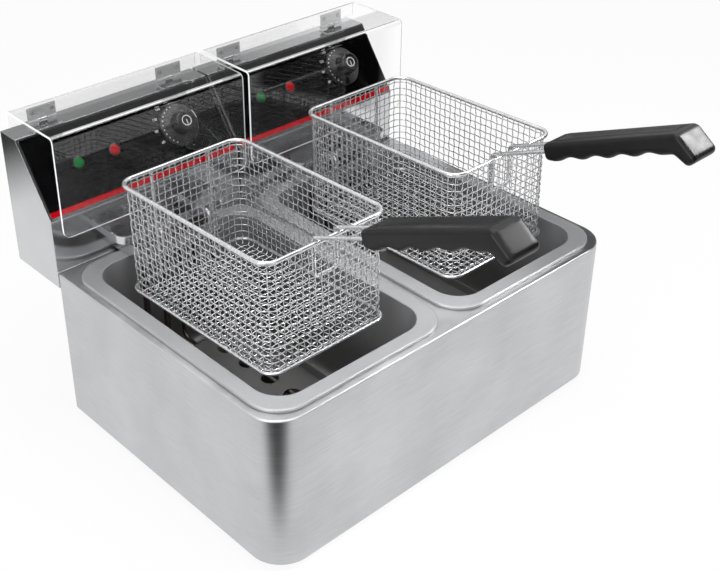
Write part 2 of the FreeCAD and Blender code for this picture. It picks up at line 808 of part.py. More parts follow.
def make_thermostat(side, middle):
    across = f"{middle} + knob_offset"
    case = block(f"thermostat_case_{side}", across, "0", "0", "thermostat_width", "thermostat_length",
                 "thermostat_depth")
    y, z = panel_point("knob_height - thermostat_length/2", "-sheet_gauge - thermostat_depth")
    place(case, f"{across} - thermostat_width/2", y, z, "panel_angle")
    shaft = stand(f"thermostat_shaft_{side}", across, "knob_height", "-sheet_gauge - thermostat_depth/2",
                  "shaft_radius", "shaft_length + sheet_gauge + thermostat_depth/2")
    keep(fuse(f"thermostat_fuse_{side}", [case, shaft]), "thermostat_" + side)


def make_terminal_block(side, middle):
    keep(block(f"terminal_{side}", f"{middle} + terminal_offset", "head_back - 2*terminal_depth",
               "head_bottom + sheet_gauge", "terminal_width", "terminal_depth", "terminal_height"),
         "terminal_block_" + side)


def make_cutout(side, middle):
    across = f"{middle} + cutout_offset"
    up = "head_bottom + cutout_height"
    case = block(f"cutout_case_{side}", across, "head_back - cutout_depth", f"{up} - cutout_size/2",
                 "cutout_size", "cutout_depth", "cutout_size")
    bore_depth = "button_inner + button_travel + button_clearance"
    bore = peg(f"cutout_bore_{side}", across, f"head_back - ({bore_depth})", up,
               "button_radius + button_clearance", bore_depth)
    keep(cut(f"cutout_cut_{side}", case, [bore]), "high_limit_cutout_" + side)
    keep(peg(f"button_{side}", across, "head_back - button_inner", up, "button_radius",
             "button_inner + sheet_gauge + button_proud"), "reset_button_" + side)


def make_cable_gland(side, middle):
    across = f"{middle} + gland_offset"
    up = "head_bottom + gland_height"
    outside = "head_back + sheet_gauge"
    collar = peg(f"gland_collar_{side}", across, outside, up, "gland_collar_radius", "gland_collar")
    dome = peg(f"gland_dome_{side}", across, outside, up, "gland_dome_radius", "gland_length")
    thread = peg(f"gland_thread_{side}", across, "head_back - gland_nut_length", up, "gland_thread_radius",
                 "gland_nut_length + sheet_gauge + gland_collar/2")
    nut = peg(f"gland_nut_{side}", across, "head_back - gland_nut_length", up, "gland_collar_radius",
              "gland_nut_length")
    solid = fuse(f"gland_fuse_{side}", [collar, dome, thread, nut])
    bore = peg(f"gland_bore_{side}", across, "head_back - 2*gland_nut_length", up, "gland_bore_radius",
               "2*gland_nut_length + 2*gland_length")
    keep(cut(f"gland_cut_{side}", solid, [bore]), "cable_gland_" + side)


def make_hanger(side, middle):
    """Upright strip of steel, bent to a U, whose ends stand on the head's face."""
    body = new_body("hanger_" + side)
    outline = sketch_on(body, "XY_Plane")
    rounded_rectangle(outline, "hanger_width", "hanger_reach", "hanger_bend", "0", "-hanger_reach/2",
                      "hanger_gauge")
    pad(body, outline, "hanger_strip", back=True)
    inside = sketch_on(body, "XY_Plane")
    rounded_rectangle(inside, "hanger_width - 2*hanger_gauge", "hanger_reach", "hanger_bend - hanger_gauge",
                      "0", "hanger_gauge - hanger_reach/2", "hanger_gauge/2")
    pocket(body, inside, "hanger_strip")
    place(body, middle, "head_front", "hanger_z")
    keep(body, "basket_hanger_" + side)


# Clear cover and its hinges

def make_clear_cover(side, middle):
    body = new_body("clear_cover_" + side)
    outline = sketch_on(body, "YZ_Plane", "-cover_width/2")
    polygon(outline, [("cover_back", "strip_bottom"), ("cover_back", "cover_top"),
                      ("cover_front", "cover_top"), ("cover_front", "cover_bottom"),
                      ("cover_front + cover_gauge", "cover_bottom"),
                      ("cover_front + cover_gauge", "cover_top - cover_gauge"),
                      ("cover_back - cover_gauge", "cover_top - cover_gauge"),
                      ("cover_back - cover_gauge", "strip_bottom")])
    pad(body, outline, "cover_width")
    full = value("cover_width")
    top = value("cover_top")
    low = value("cover_bottom")
    gauge = value("cover_gauge")

    def is_bend(height):
        return lambda box: near(box.XLength, full) and near(box.ZMin, height) and near(box.ZMax, height)

    round_edges(body, "cover_bend", is_bend(top))
    round_edges(body, "cover_bend - cover_gauge", is_bend(top - gauge))
    round_edges(body, "cover_corner",
                lambda box: near(box.YLength, gauge) and near(box.ZMin, low) and near(box.XLength, 0))
    holes = []
    for number, across in enumerate(screw_columns(middle)):
        holes.append(peg(f"cover_hole_{side}_{number}", across, "hinge_y", screw_level(),
                         "cover_screw_radius + screw_clearance", "2*cover_gauge"))
    place(body, middle)
    keep(cut(f"clear_cover_cut_{side}", body, holes), "clear_cover_" + side)


def hinge_columns(middle):
    """Middle of each of a cover's two hinges."""
    for sign in SIDES.values():
        yield f"{middle} + {sign}*hinge_offset"


def screw_columns(middle):
    """Both screws of each hinge."""
    for column in hinge_columns(middle):
        for sign in SIDES.values():
            yield f"{column} + {sign}*cover_screw_spacing/2"


def screw_level():
    return "hinge_z + cover_screw_height"


def make_hinges(side, middle):
    fixed = []
    moving = []
    pins = []
    third = "(hinge_width/3)"
    knuckle = f"{third} - 2*knuckle_gap"
    bore_radius = "pin_radius + pin_fit"
    for number, column in enumerate(hinge_columns(middle)):
        stem = f"hinge_{side}_{number}"
        plate = block(stem + "_fixed_plate", column, "hinge_y - leaf_depth", "head_top", "hinge_width",
                      "leaf_depth + knuckle_radius", "leaf_gauge")
        web = block(stem + "_web", column, "hinge_y - leaf_gauge", "head_top", knuckle, "2*leaf_gauge",
                    "hinge_rise")
        eye = roller(stem + "_eye", column, "hinge_y", "hinge_z", "knuckle_radius", knuckle)
        bore = roller(stem + "_eye_bore", column, "hinge_y", "hinge_z", bore_radius, "hinge_width")
        fixed.append(cut(stem + "_fixed", fuse(stem + "_fixed_solid", [plate, web, eye]), [bore]))
        leaf_bottom = "hinge_z + knuckle_radius + 2*knuckle_gap"
        solids = [block(stem + "_moving_plate", column, "hinge_y - leaf_gauge/2", leaf_bottom, "hinge_width",
                        "leaf_gauge", "leaf_height - knuckle_radius")]
        for sign in SIDES.values():
            end = f"{column} + {sign}*{third}"
            solids.append(block(f"{stem}_tongue{sign}", end, "hinge_y - leaf_gauge/2", "hinge_z", knuckle,
                                "leaf_gauge", "leaf_height/2"))
            solids.append(roller(f"{stem}_moving_eye{sign}", end, "hinge_y", "hinge_z", "knuckle_radius",
                                 knuckle))
        moving_bore = roller(stem + "_moving_bore", column, "hinge_y", "hinge_z", bore_radius,
                             "2*hinge_width")
        tools = [moving_bore]
        for sign in SIDES.values():
            tools.append(peg(f"{stem}_leaf_hole{sign}", f"{column} + {sign}*cover_screw_spacing/2",
                             "hinge_y - leaf_gauge", screw_level(), "cover_screw_radius + screw_clearance",
                             "2*leaf_gauge"))
        moving.append(cut(stem + "_moving", fuse(stem + "_moving_solid", solids), tools))
        pins.append(roller(stem + "_pin", column, "hinge_y", "hinge_z", "pin_radius", "hinge_width"))
    keep(group(f"fixed_leaves_group_{side}", fixed), "hinge_fixed_leaves_" + side)
    keep(group(f"moving_leaves_group_{side}", moving), "hinge_moving_leaves_" + side)
    keep(group(f"pins_group_{side}", pins), "hinge_pins_" + side)


def make_cover_screws(side, middle):
    screws = []
    seat = "hinge_y - leaf_gauge/2"
    for number, across in enumerate(screw_columns(middle)):
        head = peg(f"cover_screw_head_{side}_{number}", across, f"{seat} - cover_screw_head_height",
                   screw_level(), "cover_screw_head_radius", "cover_screw_head_height")
        shank = peg(f"cover_screw_shank_{side}_{number}", across, seat, screw_level(), "cover_screw_radius",
                    "leaf_gauge + cover_gauge - seat_gap")
        screws.append(fuse(f"cover_screw_{side}_{number}", [head, shank]))
    keep(group(f"cover_screws_group_{side}", screws), "cover_screws_" + side)


# Basket and handle

def openings(low, high, count):
    """Both ends of each opening in a row of them, with a bar between neighbours."""
    bar = value("mesh_bar")
    pitch = (high - low + bar) / count
    return [(low + number * pitch, low + (number + 1) * pitch - bar) for number in range(count)]


def grid_boxes(columns, rows, layers):
    """Boxes that cut a grid of openings, given their ends along X, Y and Z."""
    boxes = []
    for x0, x1 in columns:
        for y0, y1 in rows:
            for z0, z1 in layers:
                boxes.append(Part.makeBox(x1 - x0, y1 - y0, z1 - z0, FreeCAD.Vector(x0, y0, z0)))
    return Part.Compound(boxes)


def mesh_shape():
    """The woven basket as a thin sheet with a plain grid of openings, in its own frame."""
    body = new_body("mesh_sheet")
    outline = sketch_on(body, "XY_Plane", "-basket_height")
    width = "basket_width - 2*mesh_inset"
    depth = "basket_depth - 2*mesh_inset"
    rounded_rectangle(outline, width, depth, "basket_corner - mesh_inset", "0", "-basket_depth/2")
    pad(body, outline, "basket_height")
    hollow = sketch_on(body, "XY_Plane")
    rounded_rectangle(hollow, f"{width} - 2*mesh_gauge", f"{depth} - 2*mesh_gauge",
                      "basket_corner - mesh_inset - mesh_gauge", "0", "-basket_depth/2")
    pocket(body, hollow, "basket_height - mesh_gauge")
    half = value("basket_width/2")
    full = value("basket_depth")
    corner = value("basket_corner")
    along = openings(corner - full, -corner, MESH_COLUMNS)
    across = openings(corner - half, half - corner, MESH_ACROSS)
    upright = openings(value("mesh_margin - basket_height"), -value("mesh_margin"), MESH_ROWS)
    floor = [(-value("basket_height + mesh_gauge"), value("2*mesh_gauge - basket_height"))]
    doc.recompute()
    shape = body.Shape.cut(grid_boxes([(-half, half)], along, upright))
    shape = shape.cut(grid_boxes(across, [(-full, 0)], upright))
    return shape.cut(grid_boxes(across, along, floor))


def make_basket_frame(side, middle):
    """Rim wire, base wire and the two stays between them at the back, welded into one."""
    width = value("basket_width")
    depth = value("basket_depth")
    corner = value("basket_corner")
    base_inset = value("mesh_inset - base_wire_radius - weld_gap")
    base_level = value("base_wire_lift - basket_height")
    rim = rod(ring_points(width, depth, 0, 0), value("rim_wire_radius"), corner, closed=True)
    base = rod(ring_points(width, depth, base_inset, base_level), value("base_wire_radius"),
               corner - base_inset, closed=True)
    stay_inset = value("mesh_inset - stay_radius - 2*weld_gap")
    half_spacing = value("stay_spacing") / 2
    feet = [FreeCAD.Vector(across, -stay_inset, base_level) for across in (-half_spacing, half_spacing)]
    stays = [Part.makeCylinder(value("stay_radius"), -base_level, foot) for foot in feet]
    shape = rim.fuse([base] + stays)
    wire_piece("basket_frame_" + side, shape, middle, "basket_y", "basket_z", "-basket_tilt")


def make_basket_hooks(side, middle):
    """Two hooks on the basket's back wall that sit over the hanger's front strip."""
    tilt = math.radians(value("basket_tilt"))
    bar_back = value("hanger_y + hanger_gauge - basket_y")
    bar_up = value("hanger_z - basket_z")
    bar_y = bar_back * math.cos(tilt) - bar_up * math.sin(tilt)
    bar_z = bar_back * math.sin(tilt) + bar_up * math.cos(tilt)
    radius = value("hook_radius")
    wall = value("hook_radius + weld_gap - mesh_inset")
    crown = bar_z + radius + value("seat_gap")
    behind = bar_y + 2 * radius
    hooks = []
    for sign in (-1, 1):
        across = sign * value("hook_spacing") / 2
        points = [(across, wall, crown - value("hook_run")), (across, wall, crown),
                  (across, behind, crown),
                  (across, behind, crown - value("hook_drop"))]
        hooks.append(rod(points, radius, value("hook_bend")))
    wire_piece("basket_hooks_" + side, Part.Compound(hooks), middle, "basket_y", "basket_z", "-basket_tilt")


def make_handle_wire(side, middle):
    """One wire that lies over the front rim, from the grip to a loop down the inside of the front wall."""
    half = value("handle_spacing") / 2
    outer = -value("handle_reach + handle_socket")
    lean = math.radians(value("handle_tilt - basket_tilt"))
    inset = value("mesh_inset + mesh_gauge + handle_radius + weld_gap"
                  " - handle_stack*sin(handle_tilt - basket_tilt)")
    inner = inset / math.cos(lean)
    foot = inner + value("handle_drop") * math.sin(lean)
    low = -value("handle_drop") * math.cos(lean)
    points = [(-half, outer, 0), (-half, inner, 0), (-half, foot, low),
              (half, foot, low), (half, inner, 0), (half, outer, 0)]
    shape = rod(points, value("handle_radius"), value("handle_bend"))
    wire_piece("handle_wire_" + side, shape, middle, "handle_y", "handle_z", "-handle_tilt")


def make_grip(side, middle):
    """Moulded grip: its side view and its top view, each grown to a solid, share this body."""
    profile_body = new_body("grip_side_" + side)
    start = "-handle_reach"
    end = "-handle_reach - grip_length"
    side_view = sketch_on(profile_body, "YZ_Plane", "-grip_end_width/2")
    block_start = f"{end} + grip_block_length"
    polygon(side_view, [(start, "-grip_start_half"), (start, "grip_start_half"),
                        (f"{start} - grip_top_start", "grip_top"),
                        (f"{end} + 2*grip_block_length/3", "grip_top"), (end, "-grip_tip_drop"),
                        (f"{end} + grip_block_length/2", "-grip_block_drop"), (block_start, "-grip_bottom")])
    pad(profile_body, side_view, "grip_end_width")
    scallop = sketch_on(profile_body, "YZ_Plane", "-grip_end_width/2")
    hole_circle(scallop, f"{start} - scallop_pitch", "scallop_depth - grip_bottom - scallop_radius",
                "scallop_radius")
    first = pocket(profile_body, scallop, "grip_end_width", forward=True)
    count = int((value("grip_length") - value("grip_block_length")) // value("scallop_pitch"))
    repeat(profile_body, first, scallop, "H_Axis", count, "scallop_pitch")
    plan_body = new_body("grip_plan_" + side)
    top_view = sketch_on(plan_body, "XY_Plane", "-2*grip_block_drop")
    polygon(top_view, [("-grip_start_width/2", start), ("-grip_end_width/2", end),
                       ("grip_end_width/2", end), ("grip_start_width/2", start)])
    pad(plan_body, top_view, "4*grip_block_drop")
    for body in (profile_body, plan_body):
        place(body, middle, "handle_y", "handle_z", "-handle_tilt")
    shared = doc.addObject("Part::Common", f"grip_common_{side}")
    shared.Base = profile_body
    shared.Tool = plan_body
    sockets = []
    for sign in SIDES.values():
        socket = disc(f"grip_socket_{side}{sign}", "0", "0", "0", "handle_radius + socket_fit",
                      "handle_socket + socket_fit")
        place(socket, f"{middle} + {sign}*handle_spacing/2", "handle_y - handle_reach*cos(handle_tilt)",
              "handle_z + handle_reach*sin(handle_tilt)", "90 - handle_tilt")
        sockets.append(socket)
    keep(cut(f"grip_cut_{side}", shared, sockets), "handle_grip_" + side)


def main():
    make_outer_shell()
    make_base_plate()
    make_feet()
    mesh = mesh_shape()
    for side, sign in SIDES.items():
        middle = f"{sign}*head_x"
        make_tank(side, sign)
        make_element_bracket(side, sign)
        make_heating_element(side, sign)
        make_probe(side, sign)
        make_guard_plate(side, sign)
        make_head_casing(side, middle)
        make_head_back(side, middle)
        make_control_panel(side, middle)
        make_lights(side, middle)
        make_knob(side, middle)
        make_thermostat(side, middle)
        make_terminal_block(side, middle)
        make_cutout(side, middle)
        make_cable_gland(side, middle)
        make_hanger(side, middle)
        make_clear_cover(side, middle)
        make_hinges(side, middle)
        make_cover_screws(side, middle)
        wire_piece("basket_mesh_" + side, mesh, middle, "basket_y", "basket_z", "-basket_tilt")
        make_basket_frame(side, middle)
        make_basket_hooks(side, middle)
        make_handle_wire(side, middle)
        make_grip(side, middle)
    doc.recompute()
    for obj in doc.Objects:
        if "Invalid" in obj.State or "Error" in obj.State:
            raise RuntimeError(f"{obj.Label} failed: {obj.State}")
    for piece in pieces:
        if piece.Shape.isNull() or not piece.Shape.isValid():
            raise RuntimeError(f"{piece.Label} has no valid shape")
    os.makedirs("parts", exist_ok=True)
    for piece in pieces:
        piece.Shape.exportStep(f"parts/{piece.Label}.step")
        print(piece.Label, len(piece.Shape.Solids), round(piece.Shape.Volume / 1000, 2))


main()
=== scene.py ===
"""Twin-tank countertop fryer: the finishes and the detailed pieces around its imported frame."""

import logging
import math
from collections.abc import Callable, Iterator, Mapping, Sequence
from contextlib import contextmanager
from dataclasses import dataclass, field
from enum import Enum
from functools import partial
from itertools import pairwise, product

import bpy
from mathutils import Matrix, Vector

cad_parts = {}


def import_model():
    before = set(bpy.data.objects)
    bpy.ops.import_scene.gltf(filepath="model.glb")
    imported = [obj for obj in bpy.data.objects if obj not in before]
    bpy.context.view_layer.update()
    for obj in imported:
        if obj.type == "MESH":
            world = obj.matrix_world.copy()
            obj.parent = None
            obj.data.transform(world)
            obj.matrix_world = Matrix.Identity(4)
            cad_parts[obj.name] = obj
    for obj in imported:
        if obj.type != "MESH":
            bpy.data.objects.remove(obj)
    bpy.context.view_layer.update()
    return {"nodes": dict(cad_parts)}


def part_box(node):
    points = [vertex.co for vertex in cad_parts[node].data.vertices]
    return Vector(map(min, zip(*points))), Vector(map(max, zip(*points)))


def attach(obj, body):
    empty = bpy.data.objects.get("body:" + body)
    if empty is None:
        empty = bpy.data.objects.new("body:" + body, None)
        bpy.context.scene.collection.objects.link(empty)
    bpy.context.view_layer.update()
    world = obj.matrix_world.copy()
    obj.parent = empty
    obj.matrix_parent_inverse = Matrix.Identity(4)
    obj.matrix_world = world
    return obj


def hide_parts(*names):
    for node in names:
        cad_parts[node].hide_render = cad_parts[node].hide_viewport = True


LOG = logging.getLogger("fryer")
MM = 0.001
BEND_STEPS = 5
ARC_STEPS = 6
NEAR = 0.1 * MM
MERGE_REACH = 0.001 * MM
SMOOTH = 40
SMOOTH_SHEET = 35
SMOOTH_WIRE = 60
SMOOTH_GRIP = 50
FACES_UP = 0.9
SIDE_TO_FRAME = Matrix(((0, 0, 1, 0), (1, 0, 0, 0), (0, 1, 0, 0), (0, 0, 0, 1)))

Colour = tuple[float, float, float, float]
Pair = tuple[float, float]
Point = tuple[float, float, float]
Piece = bpy.types.Object
Tree = bpy.types.NodeTree
Socket = bpy.types.NodeSocket


class Side(Enum):
    """One half of the fryer. The right half is the left one moved along X."""

    LEFT = -1
    RIGHT = 1

    @property
    def tag(self) -> str:
        """Ending of this side's node and body names."""
        return self.name.lower()

    @property
    def head_x(self) -> float:
        """Middle of this side's head and basket along X."""
        low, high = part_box(f"head_casing_{self.tag}")
        return (low.x + high.x) / 2


class Select(Enum):
    """Kind of element that an edit-mode step picks."""

    VERTICES = (True, False, False)
    EDGES = (False, True, False)
    FACES = (False, False, True)


# Workbench: small helpers around Blender's own modelling operators


def only(piece: Piece) -> None:
    """Makes a piece the one selected and active object.

    Args:
        piece: the object to work on.
    """
    bpy.ops.object.select_all(action="DESELECT")
    piece.select_set(True)
    bpy.context.view_layer.objects.active = piece


@contextmanager
def editing(piece: Piece, kind: Select, test: Callable[..., bool]) -> Iterator[None]:
    """Edit mode on one piece, with only those elements picked that pass a test.

    Args:
        piece: mesh object to edit.
        kind: what to pick.
        test: takes a vertex's place, an edge's two ends, or a face's middle and normal.

    Yields:
        Nothing; the block's operators act on what was picked.
    """
    only(piece)
    bpy.context.tool_settings.mesh_select_mode = kind.value
    mesh = piece.data
    for group in (mesh.vertices, mesh.edges, mesh.polygons):
        group.foreach_set("select", [False] * len(group))
    picked: list[int] = []
    if kind is Select.VERTICES:
        picked = [vertex.index for vertex in mesh.vertices if test(vertex.co)]
    elif kind is Select.EDGES:
        for edge in mesh.edges:
            edge.select = bool(test(*(mesh.vertices[index].co for index in edge.vertices)))
            if edge.select:
                picked.extend(edge.vertices)
    else:
        for face in mesh.polygons:
            face.select = bool(test(face.center, face.normal))
            if face.select:
                picked.extend(face.vertices)
    for index in picked:
        mesh.vertices[index].select = True
    bpy.ops.object.mode_set(mode="EDIT")
    yield
    bpy.ops.object.mode_set(mode="OBJECT")


def everything(*_: Vector) -> bool:
    """Test that every element passes."""
    return True


def apply_modifier(piece: Piece, kind: str, **settings: object) -> None:
    """Adds a modifier with its settings and applies it.

    Args:
        piece: object that gets it.
        kind: Blender's name of the modifier's type.
        **settings: its properties.
    """
    only(piece)
    modifier = piece.modifiers.new(kind.title(), kind)
    for name, value in settings.items():
        setattr(modifier, name, value)
    bpy.ops.object.modifier_apply(modifier=modifier.name)


def tidy_shell(piece: Piece) -> None:
    """Merges doubled points and turns a closed shell's faces outward.

    Args:
        piece: mesh object to tidy.
    """
    with editing(piece, Select.VERTICES, everything):
        bpy.ops.mesh.remove_doubles(threshold=MERGE_REACH)
        bpy.ops.mesh.normals_make_consistent(inside=False)


def fixed(piece: Piece) -> Piece:
    """Applies a piece's place, turn and scale to its mesh.

    Args:
        piece: object to fix.

    Returns:
        The same object.
    """
    only(piece)
    bpy.ops.object.transform_apply(location=True, rotation=True, scale=True)
    return piece


def added(kind: str, scale: Point = (1, 1, 1), turn: float = 0, **settings: object) -> Piece:
    """Adds one of Blender's primitives, with its place applied to its mesh.

    Args:
        kind: Blender's name of the primitive.
        scale: its size along each axis.
        turn: its turn about Z, in radians.
        **settings: what its operator takes.

    Returns:
        The primitive.
    """
    getattr(bpy.ops.mesh, f"primitive_{kind}_add")(**settings)
    piece = bpy.context.object
    piece.scale = scale
    piece.rotation_euler.z = turn
    return fixed(piece)


def join(name: str, pieces: Sequence[Piece]) -> Piece:
    """Joins pieces into one object.

    Args:
        name: name of the joined object.
        pieces: mesh objects; the first one stays.

    Returns:
        The joined object.
    """
    only(pieces[0])
    for piece in pieces:
        piece.select_set(True)
    bpy.ops.object.join()
    pieces[0].name = name
    return pieces[0]


def copy_of(piece: Piece, move: Point) -> Piece:
    """Copies a piece with its own mesh.

    Args:
        piece: object to copy.
        move: how far the copy is moved.

    Returns:
        The copy.
    """
    twin = piece.copy()
    twin.data = piece.data.copy()
    bpy.context.collection.objects.link(twin)
    twin.data.transform(Matrix.Translation(move))
    return twin


def drawn(name: str, runs: Sequence[tuple[Sequence[Point], bool]], **settings: object) -> Piece:
    """Makes a mesh from a curve that runs through given points.

    Args:
        name: name of the object.
        runs: points of each line, and whether it closes on itself.
        **settings: the curve's properties.

    Returns:
        The mesh object.
    """
    curve = bpy.data.curves.new(name, "CURVE")
    for key, value in settings.items():
        setattr(curve, key, value)
    for points, closed in runs:
        spline = curve.splines.new("POLY")
        spline.points.add(len(points) - 1)
        spline.points.foreach_set("co", [value for point in points for value in (*point, 1.0)])
        spline.use_cyclic_u = closed
    piece = bpy.data.objects.new(name, curve)
    bpy.context.collection.objects.link(piece)
    only(piece)
    bpy.ops.object.convert(target="MESH")
    return bpy.context.view_layer.objects.active


def turned(name: str, profile: Sequence[Pair], steps: int) -> Piece:
    """Body of revolution about Z, from a disc that is inset and raised step by step.

    Args:
        name: name of the object.
        profile: radius and height of each step in millimetres, from the lowest edge inward and up.
        steps: sides around the axis.

    Returns:
        The closed mesh object.
    """
    outline = [(radius * MM, height * MM) for radius, height in profile]
    first_radius, first_height = outline[0]
    piece = added("circle", vertices=steps, radius=first_radius, fill_type="NGON",
                  location=(0, 0, first_height))
    piece.name = name
    with editing(piece, Select.FACES, everything):
        for (radius, height), (next_radius, next_height) in pairwise(outline):
            bpy.ops.mesh.extrude_region_move(
                TRANSFORM_OT_translate={"value": (0, 0, next_height - height)})
            share = next_radius / radius
            bpy.ops.transform.resize(value=(share, share, 1), center_override=(0, 0, next_height))
    tidy_shell(piece)
    return piece


def wear(piece: Piece, *finishes: "Finish") -> None:
    """Puts finishes on a piece, in place of what it has.

    Args:
        piece: object to dress.
        *finishes: one for each of its material slots.
    """
    piece.data.materials.clear()
    for finish in finishes:
        piece.data.materials.append(finish.material())


def mount(piece: Piece, place: Matrix, smooth_angle: float, body: str, slot: str, *nodes: str) -> None:
    """Puts a piece made in its own frame into the fryer's frame, lets it ride on a body and reports it.

    Args:
        piece: mesh object, modelled about the origin.
        place: where its own frame lies.
        smooth_angle: edges under this angle are shaded smooth, in degrees.
        body: body that it moves with.
        slot: material slot that it belongs to; not used.
        *nodes: nodes that it stands for.
    """
    piece.matrix_world = place @ piece.matrix_world
    fixed(piece)
    bpy.ops.object.shade_smooth_by_angle(angle=math.radians(smooth_angle))
    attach(piece, body)
    if nodes:
        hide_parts(*nodes)
    LOG.info("%s rides on %s, %d faces", piece.name, body, len(piece.data.polygons))


# Nodes of materials


def linear(code: str) -> Colour:
    """Turns an sRGB hex colour into linear light.

    Args:
        code: six hex digits after a hash sign.

    Returns:
        Red, green, blue and full alpha.
    """
    parts = [int(code[start:start + 2], 16) / 255 for start in (1, 3, 5)]
    red, green, blue = (part / 12.92 if part <= 0.04045 else ((part + 0.055) / 1.055) ** 2.4
                        for part in parts)
    return red, green, blue, 1.0


def feed(tree: Tree, node: bpy.types.Node, inputs: Mapping[str | int, object]) -> None:
    """Sets a node's properties and inputs.

    Args:
        tree: the node's tree.
        node: node to set.
        inputs: for each property or input socket, a value or the output socket that drives it.
    """
    for name, value in inputs.items():
        if isinstance(name, str) and name[0].islower():
            setattr(node, name, value)
        elif isinstance(value, Socket):
            tree.links.new(value, node.inputs[name])
        else:
            node.inputs[name].default_value = value


def add_node(tree: Tree, kind: str, inputs: Mapping[str | int, object] | None = None) -> bpy.types.Node:
    """Adds a node with its settings and links.

    Args:
        tree: tree that gets the node.
        kind: Blender's name of the node's type.
        inputs: as for feed.

    Returns:
        The new node.
    """
    node = tree.nodes.new(kind)
    feed(tree, node, inputs or {})
    return node


def compute(tree: Tree, operation: str, *values: float | Socket) -> Socket:
    """Adds a node that calculates.

    Args:
        tree: tree that gets the node.
        operation: Blender's name of what it does.
        *values: what it takes.

    Returns:
        The socket with its result.
    """
    node = add_node(tree, "ShaderNodeMath", {"operation": operation, **dict(enumerate(values))})
    return node.outputs["Value"]


def rescale(tree: Tree, value: Socket, span: Pair, to: Pair = (0, 1)) -> Socket:
    """Moves a value from one span to another, and holds it at the ends.

    Args:
        tree: tree that gets the node.
        value: the value.
        span: where it starts and ends.
        to: where the result starts and ends.

    Returns:
        The socket with the result.
    """
    node = add_node(tree, "ShaderNodeMapRange", {"Value": value, "From Min": span[0], "From Max": span[1],
                                                 "To Min": to[0], "To Max": to[1]})
    return node.outputs["Result"]


def cleared(owner: bpy.types.Material | bpy.types.World) -> Tree:
    """Gives the emptied node tree of a material or world.

    Args:
        owner: what the tree belongs to.

    Returns:
        The tree.
    """
    owner.use_nodes = True
    owner.node_tree.nodes.clear()
    return owner.node_tree


class Look:
    """Node tree of a finish, with its Principled shader and the patterns that drive it."""

    pattern_span = (0.3, 0.7)
    bump_height = 0.05 * MM

    def __init__(self, tree: Tree) -> None:
        """Adds the shader.

        Args:
            tree: the material's empty tree.
        """
        self.tree = tree
        self.shader = add_node(tree, "ShaderNodeBsdfPrincipled")
        add_node(tree, "ShaderNodeOutputMaterial", {"Surface": self.shader.outputs["BSDF"]})
        self.place = add_node(tree, "ShaderNodeTexCoord").outputs["Object"]

    def put(self, inputs: Mapping[str, object]) -> None:
        """Sets the shader's inputs.

        Args:
            inputs: as for feed.
        """
        feed(self.tree, self.shader, inputs)

    def noise(self, size: float, detail: float = 2.0, roughness: float = 0.5,
              stretch: Point = (1, 1, 1)) -> Socket:
        """Adds a noise pattern in the piece's own frame.

        Args:
            size: width of its spots.
            detail: how many finer layers it has.
            roughness: how strong those are.
            stretch: how it is squeezed along each axis.

        Returns:
            The socket with the pattern.
        """
        place = add_node(self.tree, "ShaderNodeMapping", {"Scale": stretch, "Vector": self.place})
        pattern = add_node(self.tree, "ShaderNodeTexNoise", {
            "Scale": 1 / size, "Detail": detail, "Roughness": roughness, "Vector": place.outputs["Vector"]})
        return pattern.outputs["Fac"]

    def height(self) -> Socket:
        """Gives the height over the fryer's floor."""
        return add_node(self.tree, "ShaderNodeSeparateXYZ", {"Vector": self.place}).outputs["Z"]

    def tint(self, value: Socket, dark: str, light: str) -> None:
        """Lets the base colour go from one hex colour to another.

        Args:
            value: the pattern that drives it.
            dark: colour at the pattern's low end.
            light: colour at its high end.
        """
        ramp = add_node(self.tree, "ShaderNodeValToRGB", {"Fac": value})
        for element, place, code in zip(ramp.color_ramp.elements, self.pattern_span, (dark, light)):
            element.position = place
            element.color = linear(code)
        self.put({"Base Color": ramp.outputs["Color"]})

    def roughen(self, value: Socket, low: float, high: float) -> None:
        """Lets the roughness go from one value to another.

        Args:
            value: the pattern that drives it.
            low: roughness at the pattern's low end.
            high: roughness at its high end.
        """
        self.put({"Roughness": rescale(self.tree, value, self.pattern_span, (low, high))})

    def emboss(self, value: Socket, strength: float, **inputs: Socket) -> None:
        """Gives the surface a fine relief.

        Args:
            value: the pattern that drives it.
            strength: how strong it is.
            **inputs: further inputs of the relief's node.
        """
        relief = add_node(self.tree, "ShaderNodeBump", {
            "Strength": strength, "Distance": self.bump_height, "Height": value, **inputs})
        self.put({"Normal": relief.outputs["Normal"]})


# Finishes


@dataclass(frozen=True)
class Finish:
    """Surface finish that is made once and shared by the pieces that carry it."""

    name: str

    def material(self) -> bpy.types.Material:
        """Gives this finish's material, made at its first use.

        Returns:
            The material.
        """
        found = bpy.data.materials.get(self.name)
        if found:
            return found
        material = bpy.data.materials.new(self.name)
        self.shade(Look(cleared(material)))
        return material

    def shade(self, look: Look) -> None:
        """Sets the shader and what feeds it.

        Args:
            look: the material's nodes.
        """
        raise NotImplementedError


@dataclass(frozen=True)
class VariedFinish(Finish):
    """Finish whose colour and gloss vary a little over the piece."""

    dark: str
    light: str
    smooth: float
    rough: float

    def vary(self, look: Look, value: Socket) -> None:
        """Lets a pattern drive colour and roughness.

        Args:
            look: the material's nodes.
            value: the pattern.
        """
        look.tint(value, self.dark, self.light)
        look.roughen(value, self.smooth, self.rough)


